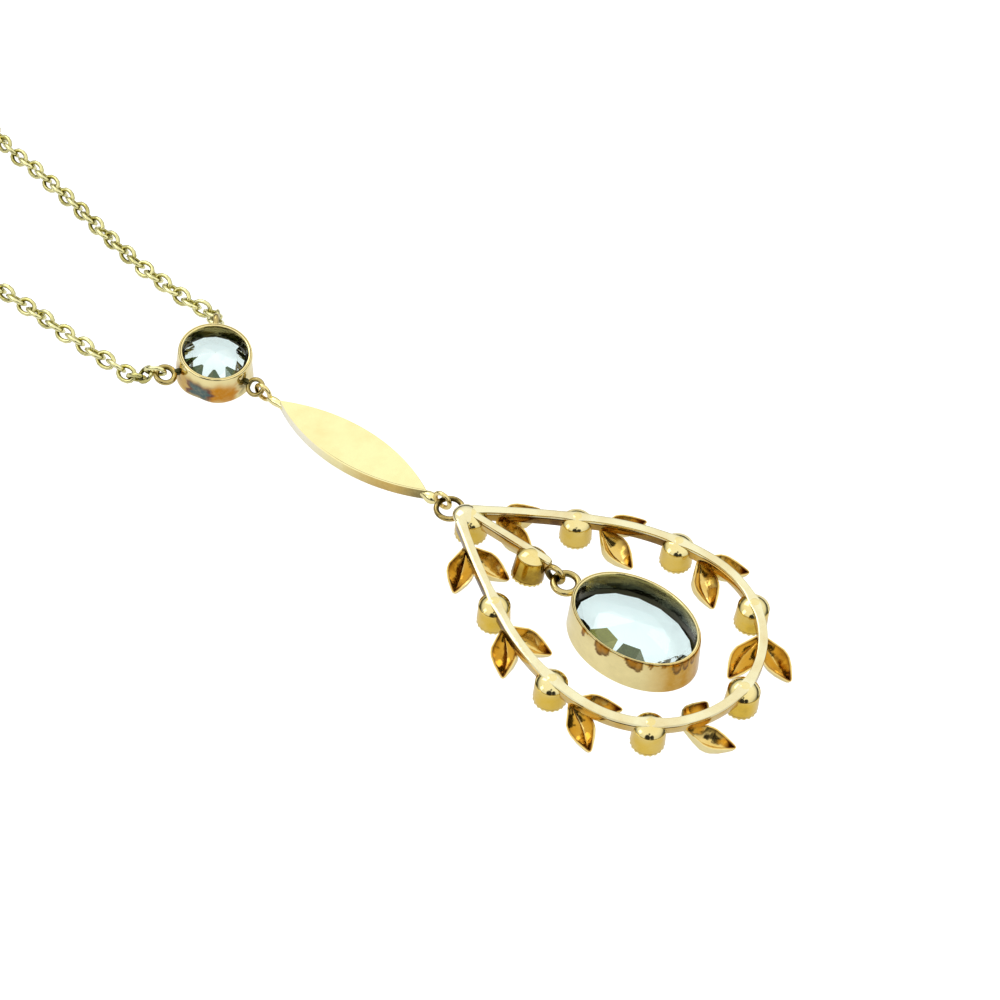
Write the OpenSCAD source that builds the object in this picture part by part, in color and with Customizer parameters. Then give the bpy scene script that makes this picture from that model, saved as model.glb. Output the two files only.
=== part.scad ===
// A lavaliere necklace, lying on its face, so that the backs of its settings look up.
// X runs across the pendant, Y along it, with the loop of chain toward +Y.
// Z = 0 is the surface that it lies on. Lengths are in millimetres, turns in degrees.

/* [Wreath] */
// Radius of the round foot of the wreath, to the middle of its strip
foot_r = 8.45; // [7:0.05:10]
// Radius of the shoulders above the foot
shoulder_r = 17.5; // [15:0.5:20]
// How far each shoulder turns inwards
shoulder_turn = 28; // [24:1:31]
// Radius of the nearly straight arms
arm_r = 60; // [50:1:80]
// Length of each arm, from its shoulder to the tip
arm_l = 10.4; // [9:0.1:12]
// Width of the gallery strip, seen from above
strip_w = 0.7; // [0.5:0.05:0.9]
// Depth of the gallery strip
strip_h = 1.1; // [0.9:0.05:1.4]
// Width of the centre bar
bar_w = 0.6; // [0.5:0.05:0.8]
// Length of the centre bar, from the tip
bar_l = 7.75; // [7.3:0.05:8.5]

/* [Cups and pearls] */
// Radius of a cup at its milgrain edge
cup_rim_r = 1.3; // [1.25:0.01:1.4]
// Radius of a cup at the top of its wall
cup_back_r = 1.2; // [1.15:0.01:1.3]
// Height of a cup's wall
cup_wall_h = 2.1; // [1.9:0.05:2.4]
// Rise of a cup's domed back above its wall
cup_dome_h = 0.57; // [0.45:0.01:0.7]
// Radius of a pearl
pearl_r = 1.02; // [0.9:0.01:1.05]
// How far a pearl stands out of its cup
pearl_proud = 0.5; // [0.4:0.05:0.6]
// Gap between a set piece and its setting
set_gap = 0.12; // [0.1:0.01:0.15]
// How far a dome is set in from its wall
dome_step = 0.03; // [0.02:0.01:0.06]
// How far the domes stand up past the strip that crosses them
dome_proud = 0.04; // [0.03:0.01:0.08]
// How far the centre bar's cup leans over
bar_cup_lean = 15; // [0:1:20]

/* [Leaves] */
// Length of a leaf, from the middle of the strip to its point
leaf_l = 4.1; // [3.8:0.1:4.5]
// Width of a leaf
leaf_w = 2; // [2:0.05:2.3]
// Depth of a leaf, from its rim to its keel
leaf_d = 0.95; // [0.8:0.05:1.1]
// Thickness of a leaf's shell
leaf_wall = 0.25; // [0.2:0.01:0.35]
// How far a leaf's rim reaches up beside the strip
leaf_seat = 0.2; // [0.15:0.01:0.4]
// Distance along the strip from a cup's middle to the next leaves
leaf_start = 1.9; // [1.8:0.05:2.4]
// How much further on the leaves beside the foot's cup start
foot_leaf_shift = 0.6; // [0:0.1:0.8]
// Angle of an outer leaf from the strip
outer_splay = 29; // [26:1:34]
// Angle of an inner leaf from the strip
inner_splay = 42; // [36:1:44]
// How far an outer leaf dips toward its point
outer_dip = 14; // [10:1:18]
// How far an inner leaf dips toward its point
inner_dip = 20; // [14:1:23]

/* [Navette] */
// Length of the pointed plate
navette_l = 15.4; // [14:0.1:17]
// Width of the pointed plate
navette_w = 4.05; // [3.6:0.05:4.4]
// Thickness of the pointed plate
navette_t = 1; // [0.9:0.05:1.3]
// Height of its back above the surface
navette_z = 1.35; // [1.3:0.05:1.5]
// Thickness of the stems that join its loops
stem_d = 0.6; // [0.5:0.05:0.7]
// How far a stem reaches into the plate's point
stem_hold = 0.5; // [0.4:0.05:0.7]
// Width of the rim round its pearls
navette_rim = 0.3; // [0.2:0.05:0.4]
// Depth of the channel that holds its pearls
navette_channel = 0.55; // [0.45:0.05:0.6]
// Radius of the middle pearl in its row
row_pearl_r = 1.15; // [1:0.01:1.25]
// How much the row's end pearls are smaller, as a share
row_taper = 0.55; // [0.5:0.01:0.6]

/* [Round drop] */
// Radius of the round collet at its front
round_r = 3.15; // [2.9:0.05:3.5]
// How much narrower the round collet is at its back
round_draft = 0.12; // [0.05:0.01:0.2]
// Height of the round collet
round_h = 2.9; // [2.6:0.05:3.3]
// Thickness of the collets' walls
collet_wall = 0.35; // [0.3:0.01:0.45]
// Width of the lip that holds a stone in its collet
lip_w = 0.25; // [0.15:0.05:0.3]
// Height of that lip
lip_h = 0.25; // [0.2:0.05:0.35]
// How far the round collet is tipped by its rings
round_tip = 9; // [6:0.5:11]
// Distance from the round collet's wall to the middle of each chain ring
chain_ring_reach = 1.05; // [0.95:0.01:1.2]

/* [Oval drop] */
// Half the length of the oval collet at its front
oval_l = 5.45; // [5:0.05:6]
// Half the width of the oval collet at its front
oval_w = 3.82; // [3.5:0.05:4.2]
// How much narrower the oval collet is at its back
oval_draft = 0.17; // [0.08:0.01:0.25]
// Height of the oval collet
oval_h = 3.15; // [2.9:0.05:3.4]

/* [Stones] */
// Width of a stone's table, as a share of the stone
table_share = 0.6; // [0.5:0.01:0.66]
// Height of the round stone's crown
round_crown = 0.8; // [0.6:0.05:0.9]
// Depth of the round stone's pavilion
round_pavilion = 1.35; // [1.1:0.05:1.5]
// Height of the oval stone's crown
oval_crown = 0.6; // [0.5:0.05:0.7]
// Depth of the oval stone's pavilion
oval_pavilion = 1.75; // [1.4:0.05:1.9]
// Thickness of a stone's girdle
girdle_t = 0.12; // [0.08:0.01:0.16]
// Height of the round stone's table inside its collet
round_table_z = 0.4; // [0.2:0.05:0.5]
// Height of the oval stone's table inside its collet
oval_table_z = 0.2; // [0.15:0.01:0.3]

/* [Rings] */
// Wire of the wreath's and the oval collet's rings
big_wire = 0.44; // [0.36:0.01:0.48]
// Radius of the wreath's ring, to the middle of its wire
tip_ring_r = 1.05; // [0.98:0.01:1.1]
// Height of the wreath's ring above its cups' edge
tip_ring_z = 1; // [0.8:0.05:1.2]
// Radius of the oval collet's ring, to the middle of its wire
oval_ring_r = 0.97; // [0.92:0.01:1]
// Wire of the small rings and loops
small_wire = 0.38; // [0.34:0.01:0.42]
// Radius of the round collet's rings, to the middle of their wire
small_ring_r = 0.64; // [0.62:0.01:0.68]
// Radius of the loops that hook them, to the middle of their wire
loop_r = 0.7; // [0.68:0.01:0.74]
// Gap between two linked rings
link_gap = 0.16; // [0.14:0.01:0.2]

/* [Chain and clasp] */
// Width of a strand of the cable chain
chain_w = 1.45; // [1.3:0.05:1.6]
// Radius of the clasp's ring, to the middle of its wire
clasp_r = 2.4; // [2:0.1:3]
// Wire of the clasp's ring
clasp_wire = 1.1; // [0.9:0.05:1.3]
// Radius of the clasp's eyes, to the middle of their wire
eye_r = 0.7; // [0.6:0.05:0.8]

/* [Hidden] */
$fn = 48;
deg = 180 / PI;

// Middle of the chain's route, seen from above, and how far it is lifted off the surface.
// The first points of each strand lie as the photo shows them, and the hidden stretch
// takes the plain way round.
right_route = [[4.9, 29.8, 1.2], [5.4, 31.2, 0.2], [5.3, 33.5, 0], [5.5, 36, 0], [5.9, 40, 0],
    [6.8, 45, 0], [8, 50.5, 0], [9, 56, 0], [9.8, 61, 0], [13, 69, 0], [19.5, 79, 0],
    [28, 90, 0], [36.5, 102, 0], [43.5, 115, 0], [48, 129, 0], [48.5, 144, 0],
    [44, 158, 0], [35, 169.5, 0], [22.5, 178, 0], [11, 182, 0], [4.8, 183, 0]];
left_route = [[-3.9, 29.6, 0.9], [-4.1, 31.2, 0.2], [-4.1, 33.5, 0], [-4.1, 36, 0], [-4, 40, 0],
    [-3.8, 45, 0], [-4.1, 50.5, 0], [-5.2, 56, 0], [-7.4, 62, 0], [-11.5, 70, 0],
    [-19, 79.5, 0], [-28, 90, 0], [-36.5, 102, 0], [-43.5, 115, 0], [-48, 129, 0],
    [-48.5, 144, 0], [-44, 158, 0], [-35, 169.5, 0], [-22.5, 178, 0], [-11, 182, 0],
    [-4.8, 183, 0]];
rings_a_stretch = 2;
tube_sides = 8;

// How far a cutting form runs on past what it cuts
overrun = 1;
// Turns between the facets of a cut stone
facet_turn = 360 / 8;
half_facet = facet_turn / 2;
// Where the knee of a pavilion lies, as a share of the stone
knee_share = 0.55;

// Heights of the wreath's levels above the surface
cup_z = pearl_proud;
back_z = cup_z + cup_wall_h + cup_dome_h;
strip_z = back_z - dome_proud - strip_h;
leaf_z = strip_z + leaf_seat;
pearl_z = cup_z + pearl_r - pearl_proud;
bore_r = pearl_r + set_gap;
bore_h = 2 * pearl_r - pearl_proud + set_gap;
ring_z = cup_z + tip_ring_z;

// Half of the strip's middle line, measured from the foot's lowest point up to the tip
foot_path = foot_r * 90 / deg;
shoulder_path = shoulder_r * shoulder_turn / deg;
path_l = foot_path + shoulder_path + arm_l;
arm_turn = arm_l / arm_r * deg;
shoulder_x = foot_r - shoulder_r * (1 - cos(shoulder_turn));
shoulder_y = shoulder_r * sin(shoulder_turn);
foot_y = -shoulder_y - arm_r * (sin(shoulder_turn + arm_turn) - sin(shoulder_turn));
cup_step = path_l / 4;

// Place and heading of the strip at a distance from the foot. The heading is measured
// from -Y toward +X, along the way from the tip to the foot.
function strip_at(s) =
    s < foot_path ? on_foot(s / foot_r * deg) :
    s < foot_path + shoulder_path ? on_shoulder((s - foot_path) / shoulder_r * deg) :
    on_arm((s - foot_path - shoulder_path) / arm_r * deg);
function on_foot(a) = [foot_r * sin(a), foot_y - foot_r * cos(a), a - 90];
function on_shoulder(a) = [foot_r - shoulder_r * (1 - cos(a)), foot_y + shoulder_r * sin(a), a];
function on_arm(a) = [
    shoulder_x - arm_r * (cos(shoulder_turn) - cos(shoulder_turn + a)),
    foot_y + shoulder_y + arm_r * (sin(shoulder_turn + a) - sin(shoulder_turn)),
    shoulder_turn + a];

function leaf_base(i) = strip_at(path_l - i * cup_step - leaf_start - (i == 3 ? foot_leaf_shift : 0));

// The tip cup sits a little to one side, as it does in the real piece, and so do the bar
// below it and the loop at the bar's end
tip = [0.4, -0.14];
bar_x = 0.4;
bar_loop_x = 0.3;
bar_cup_y = -6.1;

// Rings and the loops that hook them, from the tip cup upwards. A hook is how far a
// loop's middle stands beyond the wire of the ring that it is hooked on.
tip_ring_turn = 7;
loop_drop = 0.1;
tip_ring_reach = cup_rim_r + tip_ring_r;
tip_ring = [tip.x + tip_ring_reach * sin(tip_ring_turn), tip.y + tip_ring_reach * cos(tip_ring_turn), ring_z];
tip_hook = loop_r - small_wire / 2 - big_wire / 2 - link_gap;
navette_x = 1.08;
tip_ring_far = sqrt(pow(tip_ring_r, 2) - pow(navette_x - tip_ring.x + small_wire / 2, 2));
navette_foot_loop = [navette_x, tip_ring.y + tip_ring_far + tip_hook, ring_z - loop_drop];
navette_foot_y = 4.7;
navette_y = navette_foot_y + navette_l / 2;
navette_head_y = navette_foot_y + navette_l;
navette_arc = (pow(navette_l / 2, 2) + pow(navette_w / 2, 2)) / navette_w;
navette_side = navette_arc - navette_w / 2;

// Sizes of the navette's pearls, from the middle of the row outwards, and their places
row_sizes = [for (i = [-3 : 3]) row_pearl_r * (1 - row_taper * pow(abs(i) / 3, 1.5))];
row_top = navette_z - navette_t + navette_channel - set_gap;
function row_place(i) = i == 0 ? 0 : row_place(i - 1) + row_sizes[i + 2] + row_sizes[i + 3] + set_gap;

// The round collet, with the tipping that its rings give it. Reach is how far a ring's
// middle stands off the wall, turn is where it stands round it, and lean is its own tilt.
round_back_r = round_r - round_draft;
round_x = 0.51;
round_y = 26.79;
round_z = round_r * sin(round_tip);
round_ring_z = 1.35;
foot_ring_reach = 0.95;
foot_ring_turn = -82.5;
right_ring_turn = 41;
left_ring_turn = 152;
foot_ring_lean = 38;
left_ring_lean = -30;
ring_mid_r = round_r - round_draft * round_ring_z / round_h;

// Place of a point of the round collet's own frame
function round_place(p) = [
    round_x + p.x,
    round_y + p.y * cos(round_tip) - p.z * sin(round_tip),
    round_z + p.y * sin(round_tip) + p.z * cos(round_tip)];
function round_ring_place(turn, reach) =
    round_place([(ring_mid_r + reach) * cos(turn), (ring_mid_r + reach) * sin(turn), round_ring_z]);

foot_ring = round_ring_place(foot_ring_turn, foot_ring_reach);
head_hook = loop_r - small_wire - link_gap;
navette_head_loop = [navette_x, foot_ring.y - small_ring_r - head_hook, foot_ring.z - loop_drop];

// The oval collet and the ring and loop that carry it
oval_x = 0.04;
oval_y = -15.75;
oval_ring_z = 1.9;
oval_mid_l = oval_l - oval_draft * oval_ring_z / oval_h;
oval_ring_x = 0.2;
ring_bite = 0.12;
loop_lift = 0.1;
oval_ring = [oval_ring_x, oval_y + oval_mid_l + oval_ring_r + big_wire / 2 - ring_bite, oval_ring_z];
bar_hook = loop_r - small_wire / 2 - big_wire / 2 - link_gap;
bar_loop = [bar_loop_x, oval_ring.y + oval_ring_r + bar_hook, oval_ring_z + loop_lift];

// The stones lie with the table down, and the pavilion looks up through the open back
round_stone_r = round_r - collet_wall - set_gap;
oval_stone_l = oval_l - collet_wall - set_gap;
oval_stone_w = oval_w - collet_wall - set_gap;

// The row frame has its middle between the leaves' lowest points and the clasp's top
clasp_y = max([for (p = right_route) p.y]);
low_leaf = leaf_base(3);
low_turn = low_leaf.z + outer_splay;
low_y = low_leaf.y - leaf_l * cos(outer_dip) * cos(low_turn);
high_y = clasp_y + clasp_r + clasp_wire / 2;
pendant_y = -(low_y + high_y) / 2;

// A point on the smooth curve through a list of points, t running from one point to the next
function spline(p, i, t) =
    let (a = p[max(i - 1, 0)], b = p[i], c = p[i + 1], d = p[min(i + 2, len(p) - 1)])
    0.5 * (2 * b + (c - a) * t + (2 * a - 5 * b + 4 * c - d) * t * t + (3 * b - a - 3 * c + d) * t * t * t);
function smooth_route(p, n) =
    [for (i = [0 : len(p) - 2]) for (k = [0 : n - 1]) spline(p, i, k / n), p[len(p) - 1]];
function unit(v) = v / norm(v);
function heading(p, i) = unit(p[min(i + 1, len(p) - 1)] - p[max(i - 1, 0)]);

// A round tube swept along a route, closed by flat ends
module tube(route, r, sides) {
    path = smooth_route(route, rings_a_stretch);
    n = len(path);
    points = [for (i = [0 : n - 1])
        let (t = heading(path, i), side = unit(cross([0, 0, 1], t)), up = cross(t, side))
        for (k = [0 : sides - 1])
            path[i] + r * (cos(360 * (k + 0.5) / sides) * side + sin(360 * (k + 0.5) / sides) * up)];
    walls = [for (i = [0 : n - 2]) for (k = [0 : sides - 1])
        let (a = i * sides + k, b = i * sides + (k + 1) % sides)
        [a, a + sides, b + sides, b]];
    ends = [[for (k = [0 : sides - 1]) k], [for (k = [sides - 1 : -1 : 0]) (n - 1) * sides + k]];
    polyhedron(points = points, faces = concat(walls, ends), convexity = 6);
}

// A ring of round wire, flat in its own XY plane
module wire_ring(r, wire) {
    rotate_extrude() translate([r, 0]) circle(d = wire, $fn = 24);
}

// A ring of round wire, upright in the YZ plane
module upright_ring(r, wire) {
    rotate([0, 90, 0]) wire_ring(r, wire);
}

// One bent length of the gallery strip round the origin, from one turn to another
module strip_arc(r, from, to) {
    rotate([0, 0, from]) rotate_extrude(angle = to - from, $fn = 120)
        translate([r - strip_w / 2, 0]) square([strip_w, strip_h]);
}

// The shoulder and arm of one side. Solder inside their joint makes them one.
module arm_and_shoulder() {
    translate([foot_r - shoulder_r, foot_y, strip_z]) strip_arc(shoulder_r, 0, shoulder_turn);
    translate([shoulder_x - arm_r * cos(shoulder_turn), foot_y + shoulder_y - arm_r * sin(shoulder_turn), strip_z])
        strip_arc(arm_r, shoulder_turn, shoulder_turn + arm_turn);
    translate([shoulder_x, foot_y + shoulder_y, strip_z + strip_h / 4])
        cylinder(h = strip_h / 2, d = strip_w / 2);
}

// A cup for a pearl, standing on its milgrain edge, closed by a low domed back
module cup_body() {
    dome_r = cup_back_r - dome_step;
    ball = (pow(dome_r, 2) + pow(cup_dome_h, 2)) / (2 * cup_dome_h);
    cylinder(h = cup_wall_h, r1 = cup_rim_r, r2 = cup_back_r, $fn = 64);
    intersection() {
        translate([0, 0, cup_wall_h + cup_dome_h - ball]) sphere(r = ball, $fn = 120);
        translate([0, 0, cup_wall_h / 2]) cylinder(h = cup_wall_h / 2 + cup_dome_h, r = dome_r, $fn = 64);
    }
}

module cup_bore() {
    translate([0, 0, -overrun]) cylinder(h = bore_h + overrun, r = bore_r);
}

// Puts its children at each cup of the wreath, and the leaning one on the bar
module at_cups() {
    translate([tip.x, tip.y, cup_z]) children();
    translate([0, foot_y - foot_r, cup_z]) children();
    for (side = [-1, 1]) for (i = [1 : 3]) {
        p = strip_at(i * cup_step);
        translate([side * p.x, p.y, cup_z]) children();
    }
    at_bar_cup() children();
}

module at_bar_cup() {
    translate([bar_x, bar_cup_y, back_z]) rotate([0, bar_cup_lean, 0])
        translate([0, 0, cup_z - back_z]) children();
}

// The outer or inner form of a leaf: a round lens stands on its edge, which is the keel,
// and is cut off flat at the leaf's rim
module leaf_form(shrink) {
    half_l = leaf_l / 2;
    half_w = leaf_w / 2;
    outline_r = (pow(half_l, 2) + pow(half_w, 2)) / leaf_w;
    side = outline_r - half_w;
    rise = (pow(half_l, 2) - pow(leaf_d, 2)) / (2 * leaf_d);
    ball = sqrt(pow(outline_r, 2) + pow(rise, 2)) - shrink;
    intersection() {
        translate([0, -half_l, rise]) rotate([0, 90, 0]) rotate_extrude($fn = 96) intersection() {
            translate([0, side]) circle(r = ball, $fn = 180);
            translate([0, -side]) circle(r = ball, $fn = 180);
            translate([0, -ball]) square([ball, 2 * ball]);
        }
        translate([-leaf_w, -leaf_l - overrun, -leaf_d - overrun])
            cube([2 * leaf_w, leaf_l + 2 * overrun, leaf_d + overrun + shrink]);
    }
}

module leaf() {
    difference() {
        leaf_form(0);
        leaf_form(leaf_wall);
    }
}

module leaves() {
    for (side = [0, 1]) mirror([side, 0, 0]) for (i = [0 : 3]) {
        p = leaf_base(i);
        translate([p.x, p.y, leaf_z]) {
            rotate([0, 0, p.z + outer_splay]) rotate([outer_dip, 0, 0]) leaf();
            rotate([0, 0, p.z - inner_splay]) rotate([inner_dip, 0, 0]) leaf();
        }
    }
}

// The soldered frame: strip, bar, cups, leaves, the ring at its tip and the loop of its bar
module wreath() {
    color("gold") difference() {
        union() {
            translate([0, foot_y, strip_z]) strip_arc(foot_r, 180, 360);
            arm_and_shoulder();
            mirror([1, 0, 0]) arm_and_shoulder();
            translate([bar_x - bar_w / 2, -bar_l, strip_z]) cube([bar_w, bar_l + tip.y, strip_h]);
            at_cups() cup_body();
            leaves();
            translate(tip_ring) wire_ring(tip_ring_r, big_wire);
            translate(bar_loop) upright_ring(loop_r, small_wire);
        }
        at_cups() cup_bore();
    }
}

module pearl() {
    color("ivory") translate([0, 0, pearl_z - cup_z]) sphere(r = pearl_r);
}

module side_pearl(side, i) {
    p = strip_at((4 - i) * cup_step);
    translate([side * p.x, p.y, cup_z]) pearl();
}

// The pointed outline of the plate, or of the channel in its front
module navette_outline(shrink) {
    intersection() {
        translate([navette_side, 0]) circle(r = navette_arc - shrink, $fn = 180);
        translate([-navette_side, 0]) circle(r = navette_arc - shrink, $fn = 180);
    }
}

// A round stem along the plate's middle, from one Y to another
module stem(from, to) {
    translate([navette_x, from, navette_z - navette_t / 2]) rotate([-90, 0, 0])
        cylinder(h = to - from, d = stem_d);
}

module navette() {
    color("gold") difference() {
        union() {
            translate([navette_x, navette_y, navette_z - navette_t]) linear_extrude(navette_t) navette_outline(0);
            translate(navette_foot_loop) upright_ring(loop_r, small_wire);
            translate(navette_head_loop) upright_ring(loop_r, small_wire);
            stem(navette_foot_loop.y + loop_r, navette_foot_y + stem_hold);
            stem(navette_head_y - stem_hold, navette_head_loop.y - loop_r);
        }
        translate([navette_x, navette_y, navette_z - navette_t - overrun]) linear_extrude(navette_channel + overrun)
            navette_outline(navette_rim);
    }
}

// Half pearls in a row that gets smaller toward both ends
module navette_pearls() {
    color("ivory") for (side = [-1, 1]) for (i = [side < 0 ? 1 : 0 : 3]) {
        r = row_sizes[i + 3];
        squash = min(1, row_top / r);
        translate([navette_x, navette_y + side * row_place(i), row_top]) half_pearl(r, r * squash);
    }
}

// A low cap of a ball, hanging down from its flat top
module half_pearl(r, h) {
    ball = (r * r + h * h) / (2 * h);
    intersection() {
        translate([0, 0, ball - h]) sphere(r = ball);
        translate([-r, -r, -h]) cube([2 * r, 2 * r, h]);
    }
}

// Puts its children in the round collet's own frame
module at_round() {
    translate([round_x, round_y, round_z]) rotate([round_tip, 0, 0]) children();
}

// A ring on the round collet's wall, with the lug that holds it
module collet_ring(turn, reach, lean) {
    at_round() rotate([0, 0, turn]) {
        translate([ring_mid_r + reach, 0, round_ring_z]) rotate([lean, 0, 0]) wire_ring(small_ring_r, small_wire);
        translate([ring_mid_r - collet_wall / 2, 0, round_ring_z]) rotate([0, 90, 0])
            cylinder(h = reach - small_ring_r + collet_wall / 2, d = small_wire);
    }
}

module round_collet() {
    inner_r = round_r - collet_wall;
    color("gold") difference() {
        union() {
            at_round() cylinder(h = round_h, r1 = round_r, r2 = round_back_r, $fn = 96);
            collet_ring(foot_ring_turn, foot_ring_reach, foot_ring_lean);
            collet_ring(right_ring_turn, chain_ring_reach, 90);
            collet_ring(left_ring_turn, chain_ring_reach, left_ring_lean);
        }
        at_round() translate([0, 0, lip_h])
            cylinder(h = round_h, r1 = inner_r, r2 = inner_r - round_draft, $fn = 96);
        at_round() translate([0, 0, -overrun]) cylinder(h = round_h, r = inner_r - lip_w, $fn = 96);
    }
}

// A cut stone, girdle at Z = 0, table down and pavilion up: table, star, bezel and girdle
// facets on the crown, mains and girdle facets on the pavilion
module cut_stone(rx, ry, crown, pavilion) {
    star_share = (1 + table_share) / 2;
    half = girdle_t / 2;
    knee_z = half + pavilion * (1 - knee_share * cos(half_facet));
    star_z = -half - crown * (1 - star_share * cos(half_facet)) / (1 - table_share);
    function rim(share, turn, z) = [share * rx * cos(turn), share * ry * sin(turn), z];
    points = concat(
        [for (k = [0 : 7]) rim(table_share, facet_turn * k, -half - crown)],
        [for (k = [0 : 7]) rim(star_share, facet_turn * k + half_facet, star_z)],
        [for (k = [0 : 15]) rim(1, half_facet * k, -half)],
        [for (k = [0 : 15]) rim(1, half_facet * k, half)],
        [for (k = [0 : 7]) rim(knee_share, facet_turn * k + half_facet, knee_z)],
        [[0, 0, half + pavilion]]);
    table = 0;
    star = 8;
    low = 16;
    high = 32;
    knee = 48;
    culet = 56;
    faces = concat(
        [[for (k = [0 : 7]) table + k]],
        [for (k = [0 : 7]) [table + k, star + k, table + (k + 1) % 8]],
        [for (k = [0 : 7]) [table + k, star + (k + 7) % 8, low + 2 * k, star + k]],
        [for (k = [0 : 7]) [star + k, low + 2 * k, low + 2 * k + 1]],
        [for (k = [0 : 7]) [star + k, low + 2 * k + 1, low + (2 * k + 2) % 16]],
        [for (k = [0 : 15]) [low + k, high + k, high + (k + 1) % 16, low + (k + 1) % 16]],
        [for (k = [0 : 7]) [high + 2 * k, knee + k, high + 2 * k + 1]],
        [for (k = [0 : 7]) [high + 2 * k + 1, knee + k, high + (2 * k + 2) % 16]],
        [for (k = [0 : 7]) [high + 2 * k, knee + (k + 7) % 8, culet, knee + k]]);
    polyhedron(points = points, faces = faces, convexity = 2);
}

module round_aquamarine() {
    color("paleturquoise") at_round() translate([0, 0, round_table_z + round_crown + girdle_t / 2])
        cut_stone(round_stone_r, round_stone_r, round_crown, round_pavilion);
}

// An oval cone, standing at Z = 0, drawn in by the draft over the whole collet's height
module oval_cone(half_w, half_l, h, draft) {
    scale([half_w / half_l, 1, 1]) cylinder(h = h, r1 = half_l, r2 = half_l - draft, $fn = 96);
}

module oval_collet() {
    color("gold") difference() {
        union() {
            translate([oval_x, oval_y, 0]) oval_cone(oval_w, oval_l, oval_h, oval_draft);
            translate(oval_ring) wire_ring(oval_ring_r, big_wire);
        }
        translate([oval_x, oval_y, lip_h])
            oval_cone(oval_w - collet_wall, oval_l - collet_wall, oval_h, oval_draft);
        translate([oval_x, oval_y, -overrun])
            oval_cone(oval_w - collet_wall - lip_w, oval_l - collet_wall - lip_w, oval_h, 0);
    }
}

module oval_aquamarine() {
    color("paleturquoise") translate([oval_x, oval_y, oval_table_z + oval_crown + girdle_t / 2])
        cut_stone(oval_stone_w, oval_stone_l, oval_crown, oval_pavilion);
}

// One strand of the chain, as the round space that its links fill
module chain(route) {
    color("khaki") tube([for (p = route) p + [0, 0, chain_w / 2]], chain_w / 2, tube_sides);
}

// A plain bolt ring with an eye on each side for the chain's ends
module clasp() {
    reach = clasp_r + clasp_wire / 2 + eye_r;
    color("gold") translate([0, clasp_y, clasp_wire / 2]) {
        wire_ring(clasp_r, clasp_wire);
        for (side = [-1, 1]) translate([side * reach, 0, 0]) wire_ring(eye_r, small_wire);
    }
}

module in_row_frame() {
    translate([0, pendant_y, 0]) children();
}

in_row_frame() wreath();
in_row_frame() translate([tip.x, tip.y, cup_z]) pearl();  // pearl_tip
in_row_frame() at_bar_cup() pearl();  // pearl_bar
in_row_frame() translate([0, foot_y - foot_r, cup_z]) pearl();  // pearl_foot
for (i = [1 : 3]) {
    in_row_frame() side_pearl(1, i);
    in_row_frame() side_pearl(-1, i);
}
in_row_frame() navette();
in_row_frame() navette_pearls();
in_row_frame() round_collet();
in_row_frame() round_aquamarine();
in_row_frame() oval_collet();
in_row_frame() oval_aquamarine();
in_row_frame() chain(right_route);  // chain_right
in_row_frame() chain(left_route);  // chain_left
in_row_frame() clasp();
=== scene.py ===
"""Looks of a lavaliere necklace that lies on its face, seen from behind its pendant.

Every shape is a numpy grid of points in millimetres, in the pendant's own frame: its tip cup is
near the origin, the drop hangs toward -Y, and the chain runs off toward +Y.
"""

import bmesh
import bpy
import numpy as np
from mathutils import Matrix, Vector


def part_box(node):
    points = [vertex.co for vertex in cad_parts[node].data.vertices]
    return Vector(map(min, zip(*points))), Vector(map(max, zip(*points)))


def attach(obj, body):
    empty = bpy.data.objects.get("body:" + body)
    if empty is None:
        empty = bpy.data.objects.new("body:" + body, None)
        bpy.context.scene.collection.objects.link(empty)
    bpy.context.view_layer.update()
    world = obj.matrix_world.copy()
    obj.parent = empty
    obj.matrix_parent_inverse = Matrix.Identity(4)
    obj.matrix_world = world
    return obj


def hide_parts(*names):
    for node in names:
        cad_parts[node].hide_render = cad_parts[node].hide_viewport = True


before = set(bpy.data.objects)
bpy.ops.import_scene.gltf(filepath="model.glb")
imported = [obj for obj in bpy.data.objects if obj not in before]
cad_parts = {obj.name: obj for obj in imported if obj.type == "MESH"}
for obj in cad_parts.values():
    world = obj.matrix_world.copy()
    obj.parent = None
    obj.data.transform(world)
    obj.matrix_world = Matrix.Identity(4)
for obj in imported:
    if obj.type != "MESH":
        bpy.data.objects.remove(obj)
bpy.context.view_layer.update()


# Camera and light
# The necklace was photographed from above its foot, on white, with soft light from overhead
# and the darker room behind the camera. The polished gold mirrors both.

tip_below_zero = 0.14
tip_low, tip_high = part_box("pearl_tip")
pendant_y = (tip_low.y + tip_high.y) * 500 + tip_below_zero

camera_turn, camera_rise, camera_roll = np.radians([-55.92, 49.63, 4.03])
looked_at = np.array([0, pendant_y - 12.44, 0.5])
moved_left = 7.27
moved_up = 8.81
distance = 152.71
back = np.array([
    np.sin(camera_turn) * np.cos(camera_rise),
    -np.cos(camera_turn) * np.cos(camera_rise),
    np.sin(camera_rise),
])
level = np.array([np.cos(camera_turn), np.sin(camera_turn), 0])
upright = np.cross(back, level)
across = np.cos(camera_roll) * level + np.sin(camera_roll) * upright
up = np.cos(camera_roll) * upright - np.sin(camera_roll) * level

camera_data = bpy.data.cameras.new("camera")
camera_data.lens = 72.88
camera_data.sensor_width = 36
camera_data.clip_start = 0.01
camera = bpy.data.objects.new("camera", camera_data)
bpy.context.collection.objects.link(camera)
stance = np.eye(4)
stance[:3, 0] = across
stance[:3, 1] = up
stance[:3, 2] = back
stance[:3, 3] = (looked_at - moved_left * across + moved_up * up + distance * back) / 1000
camera.matrix_world = Matrix(stance.tolist())
bpy.context.scene.camera = camera
bpy.context.scene.view_settings.view_transform = "Standard"


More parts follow.
